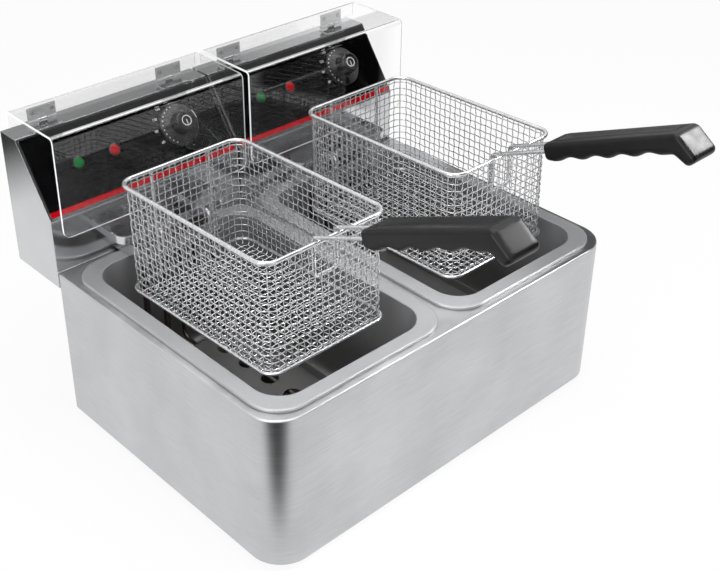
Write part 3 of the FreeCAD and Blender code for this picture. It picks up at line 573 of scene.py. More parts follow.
@dataclass(frozen=True)
class SteelSheet(VariedFinish):
    """Stainless sheet, ground or polished along one direction.

    The grinding leaves fine lines that blur what the sheet mirrors and vary its grey a little, and handling
    leaves wide, faint clouds.
    """

    line: float
    stretch: Point
    relief: float = 0.08
    edge: float = 0.6 * MM
    cloud: float = 90 * MM
    metal: float = 1.0
    line_share: float = 0.6
    line_layers: float = 3.0
    line_fineness: float = 0.65
    edge_samples: int = 4

    def shade(self, look: Look) -> None:
        """Grinding lines drive grey, roughness and relief, and folded edges are slightly round.

        Args:
            look: the material's nodes.
        """
        lines = look.noise(self.line, self.line_layers, self.line_fineness, self.stretch)
        fine = compute(look.tree, "MULTIPLY", lines, self.line_share)
        level = compute(look.tree, "MULTIPLY_ADD", look.noise(self.cloud), 1 - self.line_share, fine)
        self.vary(look, level)
        fold = add_node(look.tree, "ShaderNodeBevel", {"samples": self.edge_samples, "Radius": self.edge})
        look.emboss(lines, self.relief, Normal=fold.outputs["Normal"])
        look.put({"Metallic": self.metal})


@dataclass(frozen=True)
class TankSheet(SteelSheet):
    """Deep-drawn tank: bright along its flange, with painted shade that darkens it from the mouth down."""

    # film: colour of the painted shade at the tank's bottom; it multiplies the steel's colour.
    film: str = "#B4B2AF"
    mouth: Pair = (208 * MM, 100 * MM)

    def shade(self, look: Look) -> None:
        """Adds painted shade, which darkens the sheet from just below the flange towards the bottom.

        Args:
            look: the material's nodes.
        """
        super().shade(look)
        bare = look.shader.inputs["Base Color"].links[0].from_socket
        # Painted shade: the steel darkens with depth below the mouth.
        depth = rescale(look.tree, look.height(), self.mouth)
        painted_shade_colour = add_node(look.tree, "ShaderNodeMix", {
            "data_type": "RGBA", "blend_type": "MULTIPLY", 0: depth, 6: bare, 7: linear(self.film)})
        look.put({"Base Color": painted_shade_colour.outputs[2]})


@dataclass(frozen=True)
class PlatedWire(VariedFinish):
    """Bright plated wire: it mirrors its surroundings sharply, with a slight orange-peel."""

    peel: float = 2.5 * MM
    metal: float = 1.0

    def shade(self, look: Look) -> None:
        """Small spots of the plating vary grey and roughness."""
        self.vary(look, look.noise(self.peel))
        look.put({"Metallic": self.metal})


@dataclass(frozen=True)
class MouldedPlastic(VariedFinish):
    """Moulded plastic or rubber: an even colour with the fine spark texture of its mould."""

    grain: float
    relief: float = 0.1
    gloss: float = 0.5
    cloud_share: float = 20
    bending: float = 1.5

    def shade(self, look: Look) -> None:
        """The mould's grain gives relief, and slow clouds vary colour and gloss.

        Args:
            look: the material's nodes.
        """
        self.vary(look, look.noise(self.cloud_share * self.grain))
        look.emboss(look.noise(self.grain), self.relief)
        look.put({"IOR": self.bending, "Specular IOR Level": self.gloss})


@dataclass(frozen=True)
class PanelFilm(Finish):
    """Printed polyester film under gloss lacquer: deep black with a red stripe along its lower edge."""

    black: str
    red: str
    stripe_top: float
    wipe: float = 25 * MM
    wipe_layers: float = 4.0
    gloss: Pair = (0.06, 0.12)
    bending: float = 1.57

    def shade(self, look: Look) -> None:
        """Height parts the stripe from the black field, and faint wiping marks vary the gloss.

        Args:
            look: the material's nodes.
        """
        above = compute(look.tree, "GREATER_THAN", look.height(), self.stripe_top)
        look.tint(above, self.red, self.black)
        look.roughen(look.noise(self.wipe, self.wipe_layers), *self.gloss)
        look.put({"IOR": self.bending})


@dataclass(frozen=True)
class ClearSheet(Finish):
    """Cast acrylic sheet: clear as glass and all but white at a grazing look."""

    colour: str
    wipe: float = 30 * MM
    wipe_layers: float = 3.0
    gloss: Pair = (0.0, 0.02)
    bending: float = 1.49

    def shade(self, look: Look) -> None:
        """Clear body with faint wiping marks in its gloss."""
        look.roughen(look.noise(self.wipe, self.wipe_layers), *self.gloss)
        look.put({"IOR": self.bending, "Transmission Weight": 1.0, "Base Color": linear(self.colour)})


@dataclass(frozen=True)
class CutEdge(Finish):
    """Sawn and flamed edge of clear sheet: the light caught in the sheet leaves here, so it looks white; a
    painted glow stands in for that light.
    """

    colour: str
    glow: float
    saw: float = 1.5 * MM
    gloss: Pair = (0.2, 0.4)
    bending: float = 1.49

    def shade(self, look: Look) -> None:
        """White edge with saw marks in its gloss, and a painted glow.

        Args:
            look: the material's nodes.
        """
        look.roughen(look.noise(self.saw), *self.gloss)
        # The emission is a painted glow for the light that leaves the edge.
        look.put({"IOR": self.bending, "Base Color": linear(self.colour),
                  "Emission Color": linear(self.colour), "Emission Strength": self.glow})


SHELL_STEEL = SteelSheet("Brushed stainless sheet", "#B4B5B7", "#D2D3D4", 0.30, 0.40,
                         line=0.7 * MM, stretch=(0.02, 0.02, 1))
HEAD_STEEL = SteelSheet("Bright ground stainless sheet", "#BFC0C2", "#D2D3D4", 0.11, 0.17,
                        line=0.7 * MM, stretch=(0.02, 1, 1))
TANK_STEEL = TankSheet("Deep-drawn satin stainless", "#AEAFB1", "#B8B9BB", 0.26, 0.32,
                       line=0.5 * MM, stretch=(1, 1, 1), relief=0.02, edge=2.2 * MM, metal=0.5)
FITTING_STEEL = SteelSheet("Zinc-bright pressed steel", "#BFC0C1", "#D4D5D6", 0.38, 0.5,
                           line=0.8 * MM, stretch=(0.1, 1, 1), edge=0.2 * MM)
HINGE_STEEL = PlatedWire("Satin zinc plating", "#B2B3B4", "#C4C5C6", 0.5, 0.6, metal=0.55)
# Screw steel, darker than the hinge plates: partly its own tone, partly painted shade for the dark outlines
# around the heads.
SCREW_STEEL_AND_SHADE = PlatedWire("Screw steel", "#8C8D8F", "#A8A9AA", 0.3, 0.4, metal=0.7)
BASKET_WIRE = PlatedWire("Nickel-plated wire", "#C4C5C7", "#E6E6E7", 0.12, 0.2, metal=0.85)
ELEMENT_TUBE = PlatedWire("Heat-tinted heater sheath", "#57524E", "#7A746D", 0.32, 0.45)
PANEL_FILM = PanelFilm("Lacquered panel film", "#070708", "#BE0212", 290.8 * MM)
KNOB_BLACK = MouldedPlastic("Satin black phenolic", "#101011", "#19191A", 0.26, 0.36, 0.5 * MM)
GRIP_BLACK = MouldedPlastic("Moulded black phenolic grip", "#0A0A0B", "#121213", 0.30, 0.40, 0.8 * MM,
                            gloss=0.28)
BEZEL_BLACK = MouldedPlastic("Black ABS", "#0E0E0F", "#151516", 0.35, 0.45, 0.4 * MM)
LENS_GREEN = MouldedPlastic("Green polycarbonate lens", "#00581F", "#00702B", 0.2, 0.3, 0.6 * MM, 0.03, 0.15)
LENS_RED = MouldedPlastic("Red polycarbonate lens", "#960003", "#B40006", 0.2, 0.3, 0.6 * MM, 0.03, 0.15)
BUTTON_RED = MouldedPlastic("Red ABS", "#A3131B", "#B71A22", 0.3, 0.4, 0.5 * MM)
PALE_PLASTIC = MouldedPlastic("Pale nylon", "#D8D5CC", "#E4E1D9", 0.4, 0.5, 0.6 * MM)
PRINT_WHITE = MouldedPlastic("White screen print", "#E9E9E7", "#F6F6F4", 0.4, 0.5, 0.3 * MM, 0.02)
FOOT_RUBBER = MouldedPlastic("Black rubber", "#161616", "#202020", 0.6, 0.75, 0.9 * MM)
CLEAR_SHEET = ClearSheet("Clear acrylic sheet", "#FFFFFF")
# The last number is the edge's painted glow.
SHEET_EDGE = CutEdge("Flamed acrylic edge", "#F4F6F6", 0.3)

BODY_FINISHES: Mapping[str, Finish] = {
    "outer_shell": SHELL_STEEL, "base_plate": SHELL_STEEL, "feet": FOOT_RUBBER, "foot_screws": FITTING_STEEL}
SIDE_FINISHES: Mapping[str, Finish] = {
    "oil_tank": TANK_STEEL, "head_casing": HEAD_STEEL, "head_back_cover": HEAD_STEEL,
    "control_panel": PANEL_FILM, "basket_hanger": HEAD_STEEL, "element_bracket": HEAD_STEEL,
    "heating_element": ELEMENT_TUBE, "thermostat_probe": ELEMENT_TUBE, "guard_plate": TANK_STEEL,
    "thermostat": FITTING_STEEL, "terminal_block": PALE_PLASTIC, "high_limit_cutout": FITTING_STEEL,
    "reset_button": BUTTON_RED, "cable_gland": BEZEL_BLACK, "hinge_fixed_leaves": HEAD_STEEL,
    "hinge_moving_leaves": HINGE_STEEL, "hinge_pins": HINGE_STEEL, "basket_frame": BASKET_WIRE,
    "basket_hooks": BASKET_WIRE, "handle_wire": BASKET_WIRE}


def dress(nodes: Mapping[str, Piece]) -> None:
    """Puts its finish on each node that is shown as it is.

    Args:
        nodes: the frame's nodes by name.
    """
    for name, finish in BODY_FINISHES.items():
        wear(nodes[name], finish)
    for side, (stem, finish) in product(Side, SIDE_FINISHES.items()):
        wear(nodes[f"{stem}_{side.tag}"], finish)


# Stage


def seen(tree: Tree) -> Socket:
    """Gives 1 for what the view sees directly, in a mirror or through glass, and 0 for lighting.

    Args:
        tree: tree that gets the nodes.

    Returns:
        The socket with that value.
    """
    path = add_node(tree, "ShaderNodeLightPath")
    direct = compute(tree, "MAXIMUM", path.outputs["Is Camera Ray"], path.outputs["Is Glossy Ray"])
    return compute(tree, "MAXIMUM", direct, path.outputs["Is Transmission Ray"])


def show_mix(tree: Tree, output: str, share: Socket, first: bpy.types.Node, second: bpy.types.Node) -> None:
    """Ends a tree with a mix of two shaders.

    Args:
        tree: tree that gets the nodes.
        output: Blender's name of the output node's type.
        share: how much the second shader counts.
        first: the first shader.
        second: the second shader.
    """
    mixed = add_node(tree, "ShaderNodeMixShader", {0: share, 1: first.outputs[0], 2: second.outputs[0]})
    add_node(tree, output, {"Surface": mixed.outputs["Shader"]})


@dataclass(frozen=True)
class ShadeCard:
    """Sheet that only mirrors see: it stands for what is dark or bright around the real fryer."""

    name: str
    middle: Point
    facing: Point
    size: Pair
    grey: str
    soft: float

    def build(self) -> None:
        """Adds the sheet, with an edge that fades out."""
        card = added("plane", (*self.size, 1), size=1)
        card.name = self.name
        aim = Vector(self.facing).to_track_quat("Z", "Y").to_matrix().to_4x4()
        card.matrix_world = Matrix.Translation(self.middle) @ aim
        material = bpy.data.materials.new(self.name)
        tree = cleared(material)
        clear = add_node(tree, "ShaderNodeBsdfTransparent")
        shade = add_node(tree, "ShaderNodeEmission", {"Color": linear(self.grey), "Strength": 1.0})
        show_mix(tree, "ShaderNodeOutputMaterial", self.cover(tree), clear, shade)
        card.data.materials.append(material)
        card.visible_camera = False
        card.visible_diffuse = False
        card.visible_shadow = False

    def cover(self, tree: Tree) -> Socket:
        """Gives how much the sheet hides: it fades towards its edges, and only a mirrored ray meets it.

        Args:
            tree: tree that gets the nodes.

        Returns:
            The socket with that share.
        """
        coords = add_node(tree, "ShaderNodeTexCoord")
        spread = add_node(tree, "ShaderNodeMapping", {
            "Scale": (2 / self.size[0], 2 / self.size[1], 1), "Vector": coords.outputs["Object"]})
        reach = add_node(tree, "ShaderNodeVectorMath", {"operation": "ABSOLUTE", 0: spread.outputs["Vector"]})
        axes = add_node(tree, "ShaderNodeSeparateXYZ", {"Vector": reach.outputs["Vector"]})
        fades = [rescale(tree, axes.outputs[axis], (1, 1 - self.soft)) for axis in ("X", "Y")]
        path = add_node(tree, "ShaderNodeLightPath")
        mirrored = compute(tree, "MINIMUM", path.outputs["Glossy Depth"], 1.0)
        return compute(tree, "MULTIPLY", compute(tree, "MULTIPLY", *fades), mirrored)


@dataclass(frozen=True)
class Softbox:
    """Area lamp that faces a point, with its output in watts and its beam in degrees."""

    name: str
    place: Point
    target: Point
    size: Pair
    power: float
    spread: float = 180

    def build(self) -> None:
        """Adds the lamp."""
        data = bpy.data.lights.new(self.name, "AREA")
        data.shape = "RECTANGLE"
        data.size, data.size_y = self.size
        data.energy = self.power
        data.spread = math.radians(self.spread)
        lamp = bpy.data.objects.new(self.name, data)
        bpy.context.collection.objects.link(lamp)
        aim = (Vector(self.target) - Vector(self.place)).to_track_quat("-Z", "Y")
        lamp.matrix_world = Matrix.Translation(self.place) @ aim.to_matrix().to_4x4()


@dataclass
class Studio:
    """Pale floor, soft light and the photograph's view."""

    camera_x: float = -0.874884
    camera_reach: float = 0.736529
    camera_z: float = 1.002057
    yaw: float = 0.76839
    pitch: float = 0.54175
    roll: float = 0.01419
    lens: float = 60.8816
    sensor: float = 36
    shift_y: float = -0.06
    clip_start: float = 0.01
    floor_size: float = 12.0
    backdrop_share: float = 0.9
    sky_light: float = 0.5
    cards: tuple[ShadeCard, ...] = (
        ShadeCard("dark_before_panels", (0.85, -0.7, 0.94), (0, 1, 0), (2.0, 1.48), "#040404", 0.21),
        ShadeCard("dark_over_covers", (0.2, 0.5, 0.57), (0, -1, 0), (0.9, 0.1), "#6A6A6A", 0.12),
        ShadeCard("grey_behind_heads", (0.32, 1.2, 0.84), (0, -1, 0), (1.5, 0.4), "#A4A4A4", 0.5),
        ShadeCard("grey_far_right", (1.3, 1.0, 0.38), (-0.7, -0.7, 0), (1.6, 0.5), "#4A4A4A", 0.3),
        ShadeCard("dark_right_of_deck", (0.31, -0.01, 0.3), (-1, 0, 0), (0.36, 0.18), "#080808", 0.2),
        ShadeCard("dark_floor_left", (-0.6, 1.37, 0.004), (0, 0, 1), (1.6, 1.2), "#3A3A3A", 0.33),
        ShadeCard("dark_floor_corner", (-0.68, -0.54, 0.004), (0, 0, 1), (0.8, 0.75), "#030303", 0.2))
    lamps: tuple[Softbox, ...] = (
        Softbox("overhead_softbox", (0.1, -0.1, 2.0), (0, 0, 0), (2.2, 1.8), 26),
        Softbox("left_softbox", (-1.9, -0.6, 1.0), (0, 0, 0.2), (1.2, 1.2), 12),
        Softbox("front_softbox", (0.9, -1.9, 1.1), (0, 0, 0.2), (1.2, 1.0), 8),
        Softbox("grip_softbox", (0.76, -0.61, 0.96), (0.08, -0.33, 0.42), (0.4, 0.35), 0.65, 34))

    def build(self) -> None:
        """Sets the view, the floor, the lamps and the surroundings."""
        bpy.context.scene.view_settings.view_transform = "Standard"
        self.add_camera()
        self.add_floor()
        for thing in (*self.cards, *self.lamps):
            thing.build()
        self.add_world()

    def add_camera(self) -> None:
        """Camera at the photograph's place, turned by yaw, pitch and roll."""
        data = bpy.data.cameras.new("photo_view")
        data.sensor_fit = "HORIZONTAL"
        data.sensor_width = self.sensor
        data.lens = self.lens
        data.shift_y = self.shift_y
        data.clip_start = self.clip_start
        camera = bpy.data.objects.new("photo_view", data)
        bpy.context.collection.objects.link(camera)
        place = Matrix.Translation(
            (self.camera_x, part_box("outer_shell")[0].y - self.camera_reach, self.camera_z))
        for angle, axis in ((-self.yaw, "Z"), (math.pi / 2 - self.pitch, "X"), (self.roll, "Z")):
            place = place @ Matrix.Rotation(angle, 4, axis)
        camera.matrix_world = place
        bpy.context.scene.camera = camera

    def add_floor(self) -> None:
        """White floor that keeps part of its own shading, so that the fryer's shadow stays on it."""
        floor = added("plane", size=self.floor_size)
        floor.name = "floor"
        material = bpy.data.materials.new("White studio floor")
        tree = cleared(material)
        paper = add_node(tree, "ShaderNodeBsdfDiffuse", {"Color": linear("#F4F4F4")})
        white = add_node(tree, "ShaderNodeEmission", {"Color": linear("#FFFFFF"), "Strength": 1.0})
        share = compute(tree, "MULTIPLY", seen(tree), self.backdrop_share)
        show_mix(tree, "ShaderNodeOutputMaterial", share, paper, white)
        floor.data.materials.append(material)

    def add_world(self) -> None:
        """White surroundings where they are seen, and softer light from them."""
        world = bpy.data.worlds.new("White tent")
        tree = cleared(world)
        white = linear("#FFFFFF")
        light = add_node(tree, "ShaderNodeBackground", {"Color": white, "Strength": self.sky_light})
        shown = add_node(tree, "ShaderNodeBackground", {"Color": white, "Strength": 1.0})
        show_mix(tree, "ShaderNodeOutputWorld", seen(tree), light, shown)
        bpy.context.scene.world = world


# Pieces


@dataclass
class PanelFrame:
    """Frame of a head's sloping panel: x along the fryer, y up the slope, z out of the panel."""

    side: Side
    rise: float = 92 * MM
    slope: float = math.radians(54.5)
    film: float = 0.8 * MM

    def place(self, across: float, along: float, above: float) -> Matrix:
        """Gives the frame at a point of the panel.

        Args:
            across: distance from the panel's middle line, along X.
            along: distance up the slope from the panel's lower edge.
            above: height over the casing.

        Returns:
            Matrix from that frame to the fryer's.
        """
        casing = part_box(f"head_casing_{self.side.tag}")[0]
        turn = Matrix.Rotation(self.slope, 4, "X")
        corner = Matrix.Translation((self.side.head_x, casing.y, casing.z + self.rise))
        return corner @ turn @ Matrix.Translation((across, along, above))


@dataclass
class ThermostatKnob:
    """Black knob with a wide skirt, a hub and a raised pointer; a white ring marks its cap."""

    panel: PanelFrame
    across: float = 72 * MM
    along: float = 57.3 * MM
    profile: tuple[Pair, ...] = (
        (26.4, 1.3), (27, 1.9), (27, 3.5), (26.7, 4), (26, 4.3), (22, 5.5), (17.5, 7.8), (15.6, 8.6),
        (15, 9.8), (13.7, 22.4), (13.2, 23.4), (12.1, 23.9), (10.5, 24), (9.3, 23.5), (0.2, 23.5))
    sides: int = 64
    skirt: float = 27 * MM
    pointer_size: Point = (3 * MM, 12 * MM, 6 * MM)
    pointer_middle: Point = (0, -18 * MM, 5.8 * MM)
    pointer_fall: float = 3.2 * MM
    pointer_edge: float = 0.6 * MM
    pointer_steps: int = 2
    cap_print: float = 23.58 * MM
    ring: float = 6.8 * MM
    ring_sides: int = 48
    ring_line: float = 1.1 * MM
    line_size: Pair = (1.2 * MM, 6.4 * MM)
    line_y: float = -1.6 * MM
    dots: int = 11
    dot: float = 0.9 * MM
    dot_sides: int = 12
    dot_circle: float = 24.2 * MM
    dot_height: float = 4.92 * MM
    dot_start: float = 100
    dot_step: float = 13.6

    def build(self) -> None:
        """Models the knob with its marks and lets it ride on its own body."""
        tag = self.panel.side.tag
        place = self.panel.place(self.across, self.along, 0)
        knob = join(f"knob_{tag}", [turned("knob", self.profile, self.sides), self.pointer()])
        wear(knob, KNOB_BLACK)
        mount(knob, place, SMOOTH, f"knob_{tag}", "black_plastic", f"thermostat_knob_{tag}")
        marks = join(f"knob_marks_{tag}", [*self.cap_marks(), *self.skirt_dots()])
        wear(marks, PRINT_WHITE)
        mount(marks, place, SMOOTH, f"knob_{tag}", "pale_plastic")

    def pointer(self) -> Piece:
        """Models the raised pointer from the hub to the skirt's rim, towards the panel's lower edge.

        Returns:
            The pointer, in the knob's own frame.
        """
        pointer = added("cube", self.pointer_size, size=1, location=self.pointer_middle)
        _, middle_y, middle_z = self.pointer_middle
        with editing(pointer, Select.VERTICES, lambda at: at.y < middle_y and at.z > middle_z):
            bpy.ops.transform.translate(value=(0, 0, -self.pointer_fall))
        apply_modifier(pointer, "BEVEL", width=self.pointer_edge, segments=self.pointer_steps)
        return pointer

    def cap_marks(self) -> list[Piece]:
        """Models the white ring and its short pointer line on the cap.

        Returns:
            The ring and the line.
        """
        ring = added("circle", vertices=self.ring_sides, radius=self.ring, fill_type="NGON",
                     location=(0, 0, self.cap_print))
        with editing(ring, Select.FACES, everything):
            bpy.ops.mesh.inset(thickness=self.ring_line)
            bpy.ops.mesh.delete(type="FACE")
        line = added("plane", (*self.line_size, 1), size=1, location=(0, self.line_y, self.cap_print))
        return [ring, line]

    def skirt_dots(self) -> list[Piece]:
        """Models the white dots on the left half of the skirt.

        Returns:
            The dots.
        """
        dots = []
        for number in range(self.dots):
            angle = math.radians(self.dot_start + self.dot_step * number)
            place = (self.dot_circle * math.cos(angle), self.dot_circle * math.sin(angle), self.dot_height)
            dots.append(added("circle", vertices=self.dot_sides, radius=self.dot, fill_type="NGON",
                              location=place))
        return dots


@dataclass
class PilotLight:
    """Round pilot light: a domed lens in a black ring."""

    panel: PanelFrame
    name: str
    across: float
    finish: Finish
    slot: str
    along: float = 55 * MM
    profile: tuple[Pair, ...] = ((6.5, 0), (6.5, 1.6), (5.9, 2.3), (4.6, 2.8), (2.7, 3.1), (0.2, 3.2))
    sides: int = 40
    ring: float = 6.8 * MM
    ring_wire: float = 0.8 * MM
    ring_height: float = 0.4 * MM
    ring_steps: int = 10

    def build(self) -> None:
        """Models lens and ring as one piece with two finishes."""
        tag = self.panel.side.tag
        lens = turned("lens", self.profile, self.sides)
        wear(lens, self.finish)
        ring = added("torus", major_radius=self.ring, minor_radius=self.ring_wire, major_segments=self.sides,
                     minor_segments=self.ring_steps, location=(0, 0, self.ring_height))
        wear(ring, BEZEL_BLACK)
        light = join(f"{self.name}_lens_{tag}", [lens, ring])
        place = self.panel.place(self.across, self.along, self.panel.film)
        mount(light, place, SMOOTH, f"head_{tag}", self.slot, f"{self.name}_{tag}")


@dataclass
class DialPrint:
    """White print around the knob: plain numbers, with their places in degrees, and a thin arc."""

    knob: ThermostatKnob
    lift: float = 0.05 * MM
    figure: float = 4.8 * MM
    circle: float = 33.5 * MM
    numbers: tuple[tuple[str, float], ...] = (
        ("60", 205), ("90", 178), ("120", 152), ("150", 126), ("180", 100))
    arc_span: Pair = (25, 47)
    arc_gap: float = 2 * MM
    arc_size: Pair = (1.1 * MM, 0.01 * MM)
    arc_steps: int = 16

    def build(self) -> None:
        """Lays out the dial's print on the panel."""
        panel = self.knob.panel
        tag = panel.side.tag
        dial = join(f"dial_print_{tag}", [*(self.number(*entry) for entry in self.numbers), self.arc()])
        wear(dial, PRINT_WHITE)
        place = panel.place(self.knob.across, self.knob.along, panel.film + self.lift)
        mount(dial, place, SMOOTH, f"head_{tag}", "pale_plastic")

    def number(self, text: str, angle: float) -> Piece:
        """Makes one number, upright, at its place on the dial.

        Args:
            text: the number.
            angle: its place in degrees, from the right and anticlockwise.

        Returns:
            The number as a mesh.
        """
        turn = math.radians(angle)
        bpy.ops.object.text_add(location=(self.circle * math.cos(turn), self.circle * math.sin(turn), 0))
        figure = bpy.context.object
        figure.data.body = text
        figure.data.size = self.figure
        figure.data.align_x = "CENTER"
        figure.data.align_y = "CENTER"
        only(figure)
        bpy.ops.object.convert(target="MESH")
        return fixed(bpy.context.view_layer.objects.active)

    def arc(self) -> Piece:
        """Makes a thin flat arc outside the knob's skirt.

        Returns:
            The arc as a mesh.
        """
        start, end = (math.radians(angle) for angle in self.arc_span)
        piece = added("plane", (*self.arc_size, 1), size=1, location=(self.knob.skirt + self.arc_gap, 0, 0))
        with editing(piece, Select.EDGES, lambda a, b: a.y > 0 and b.y > 0):
            bpy.ops.mesh.spin(steps=self.arc_steps, angle=end - start, center=(0, 0, 0), axis=(0, 0, 1))
        piece.matrix_world = Matrix.Rotation(start, 4, "Z")
        return fixed(piece)


@dataclass
class ControlHead:
    """Detailed pieces of one control head: its lights, its knob and the print around that."""

    side: Side
    green_across: float = -76.5 * MM
    red_across: float = -25.5 * MM

    def build(self) -> None:
        """Models the pieces on the panel."""
        panel = PanelFrame(self.side)
        PilotLight(panel, "power_light", self.green_across, LENS_GREEN, "lens_green").build()
        PilotLight(panel, "heat_light", self.red_across, LENS_RED, "lens_red").build()
        knob = ThermostatKnob(panel)
        knob.build()
        DialPrint(knob).build()


@dataclass
class SplashCover:
    """Clear cover over a head, folded from one sheet, and the screws of its hinges."""

    side: Side
    gauge: float = 3 * MM
    strip_gap: float = 3.6 * MM
    bend: float = 7 * MM
    corner: float = 10 * MM
    screw_places: tuple[float, ...] = (-105 * MM, -79 * MM, 79 * MM, 105 * MM)
    head_height: float = 1.6 * MM
    head_profile: tuple[Pair, ...] = ((3.4, 0), (3.4, 0.7), (2.9, 1.2), (2, 1.6), (0.05, 1.6))
    head_sides: int = 24
    shank_profile: tuple[Pair, ...] = ((1.4, -3.6), (1.4, 0.1), (0.05, 0.1))
    shank_sides: int = 16
    blade: Point = (3.8 * MM, 0.8 * MM, 1.6 * MM)

    def __post_init__(self) -> None:
        """Reads the sheet's, the hinge pins' and the screws' places from the frame."""
        low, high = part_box(f"clear_cover_{self.side.tag}")
        self.width = high.x - low.x
        self.front, self.back = low.y, high.y
        self.bottom, self.top = low.z, high.z
        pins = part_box(f"hinge_pins_{self.side.tag}")
        self.strip_bottom = (pins[0].z + pins[1].z) / 2 + self.strip_gap
        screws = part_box(f"cover_screws_{self.side.tag}")
        self.screw_y = screws[0].y + self.head_height
        self.screw_z = (screws[0].z + screws[1].z) / 2

    def build(self) -> None:
        """Models the folded sheet and the screws."""
        tag = self.side.tag
        middle = Matrix.Translation((self.side.head_x, 0, 0))
        mount(self.folded_sheet(), middle, SMOOTH_SHEET, f"cover_{tag}", "clear_sheet", f"clear_cover_{tag}")
        first = self.screw()
        start, *others = self.screw_places
        copies = [copy_of(first, (place - start, 0, 0)) for place in others]
        group = join(f"screw_heads_{tag}", [first, *copies])
        wear(group, SCREW_STEEL_AND_SHADE)
        mount(group, middle, SMOOTH, f"cover_{tag}", "brushed_steel", f"cover_screws_{tag}")

    def folded_sheet(self) -> Piece:
        """Folds the sheet: top plate, then front and back edges pulled down, bends, corners, thickness.

        Returns:
            The sheet, with its middle at x = 0.
        """
        depth = self.back - self.front
        sheet = added("plane", (self.width, depth, 1), size=1, location=(0, self.front + depth / 2, self.top))
        sheet.name = f"splash_cover_{self.side.tag}"
        front_edge = self.front + NEAR
        back_edge = self.back - NEAR
        top_edge = self.top - NEAR
        with editing(sheet, Select.EDGES, lambda a, b: max(a.y, b.y) < front_edge):
            bpy.ops.mesh.extrude_region_move(
                TRANSFORM_OT_translate={"value": (0, 0, self.bottom - self.top)})
        with editing(sheet, Select.EDGES, lambda a, b: min(a.y, b.y) > back_edge):
            bpy.ops.mesh.extrude_region_move(
                TRANSFORM_OT_translate={"value": (0, 0, self.strip_bottom - self.top)})
        with editing(sheet, Select.EDGES, lambda a, b: abs(a.x - b.x) > NEAR and min(a.z, b.z) > top_edge):
            bpy.ops.mesh.bevel(offset=self.bend, segments=BEND_STEPS)
        with editing(sheet, Select.VERTICES, lambda at: at.z < self.bottom + NEAR):
            bpy.ops.mesh.bevel(offset=self.corner, segments=BEND_STEPS, affect="VERTICES")
        with editing(sheet, Select.FACES, everything):
            bpy.ops.mesh.normals_make_consistent(inside=False)
        wear(sheet, CLEAR_SHEET, SHEET_EDGE)
        faces_out = any(face.normal.z > FACES_UP for face in sheet.data.polygons)
        apply_modifier(sheet, "SOLIDIFY", thickness=self.gauge, offset=-1 if faces_out else 1,
                       use_even_offset=True, material_offset_rim=1)
        return sheet

    def screw(self) -> Piece:
        """Models the first screw: a pan head with a cross recess, and its shank into the sheet.

        Returns:
            The screw at the first of its places.
        """
        head = turned("screw_head", self.head_profile, self.head_sides)
        for turn in (0, math.pi / 2):
            blade = added("cube", self.blade, turn, size=1, location=(0, 0, self.head_height))
            apply_modifier(head, "BOOLEAN", operation="DIFFERENCE", object=blade, solver="EXACT")
            bpy.data.objects.remove(blade)
        whole = join("screw", [head, turned("screw_shank", self.shank_profile, self.shank_sides)])
        place = Matrix.Translation((self.screw_places[0], self.screw_y, self.screw_z))
        whole.matrix_world = place @ Matrix.Rotation(math.pi / 2, 4, "X")
        return fixed(whole)


@dataclass(frozen=True)
class StraightRun:
    """Straight stretch of the basket's outline, seen from above."""

    start: Vector
    heading: Vector
    length: float

    def at(self, reach: float) -> tuple[Vector, Vector]:
        """Gives the point at a distance along the run, and the way out of the basket there."""
        return self.start + self.heading * reach, Vector((self.heading.y, -self.heading.x))


@dataclass(frozen=True)
class CornerRun:
    """Quarter turn of the basket's outline, seen from above."""

    middle: Vector
    first: float
    radius: float

    @property
    def length(self) -> float:
        """Length along the quarter turn."""
        return self.radius * math.pi / 2

    def at(self, reach: float) -> tuple[Vector, Vector]:
        """Gives the point at a distance along the turn, and the way out of the basket there.

        Args:
            reach: the distance.

        Returns:
            The point and the unit vector.
        """
        angle = self.first + reach / self.radius
        outward = Vector((math.cos(angle), math.sin(angle)))
        return self.middle + outward * self.radius, outward


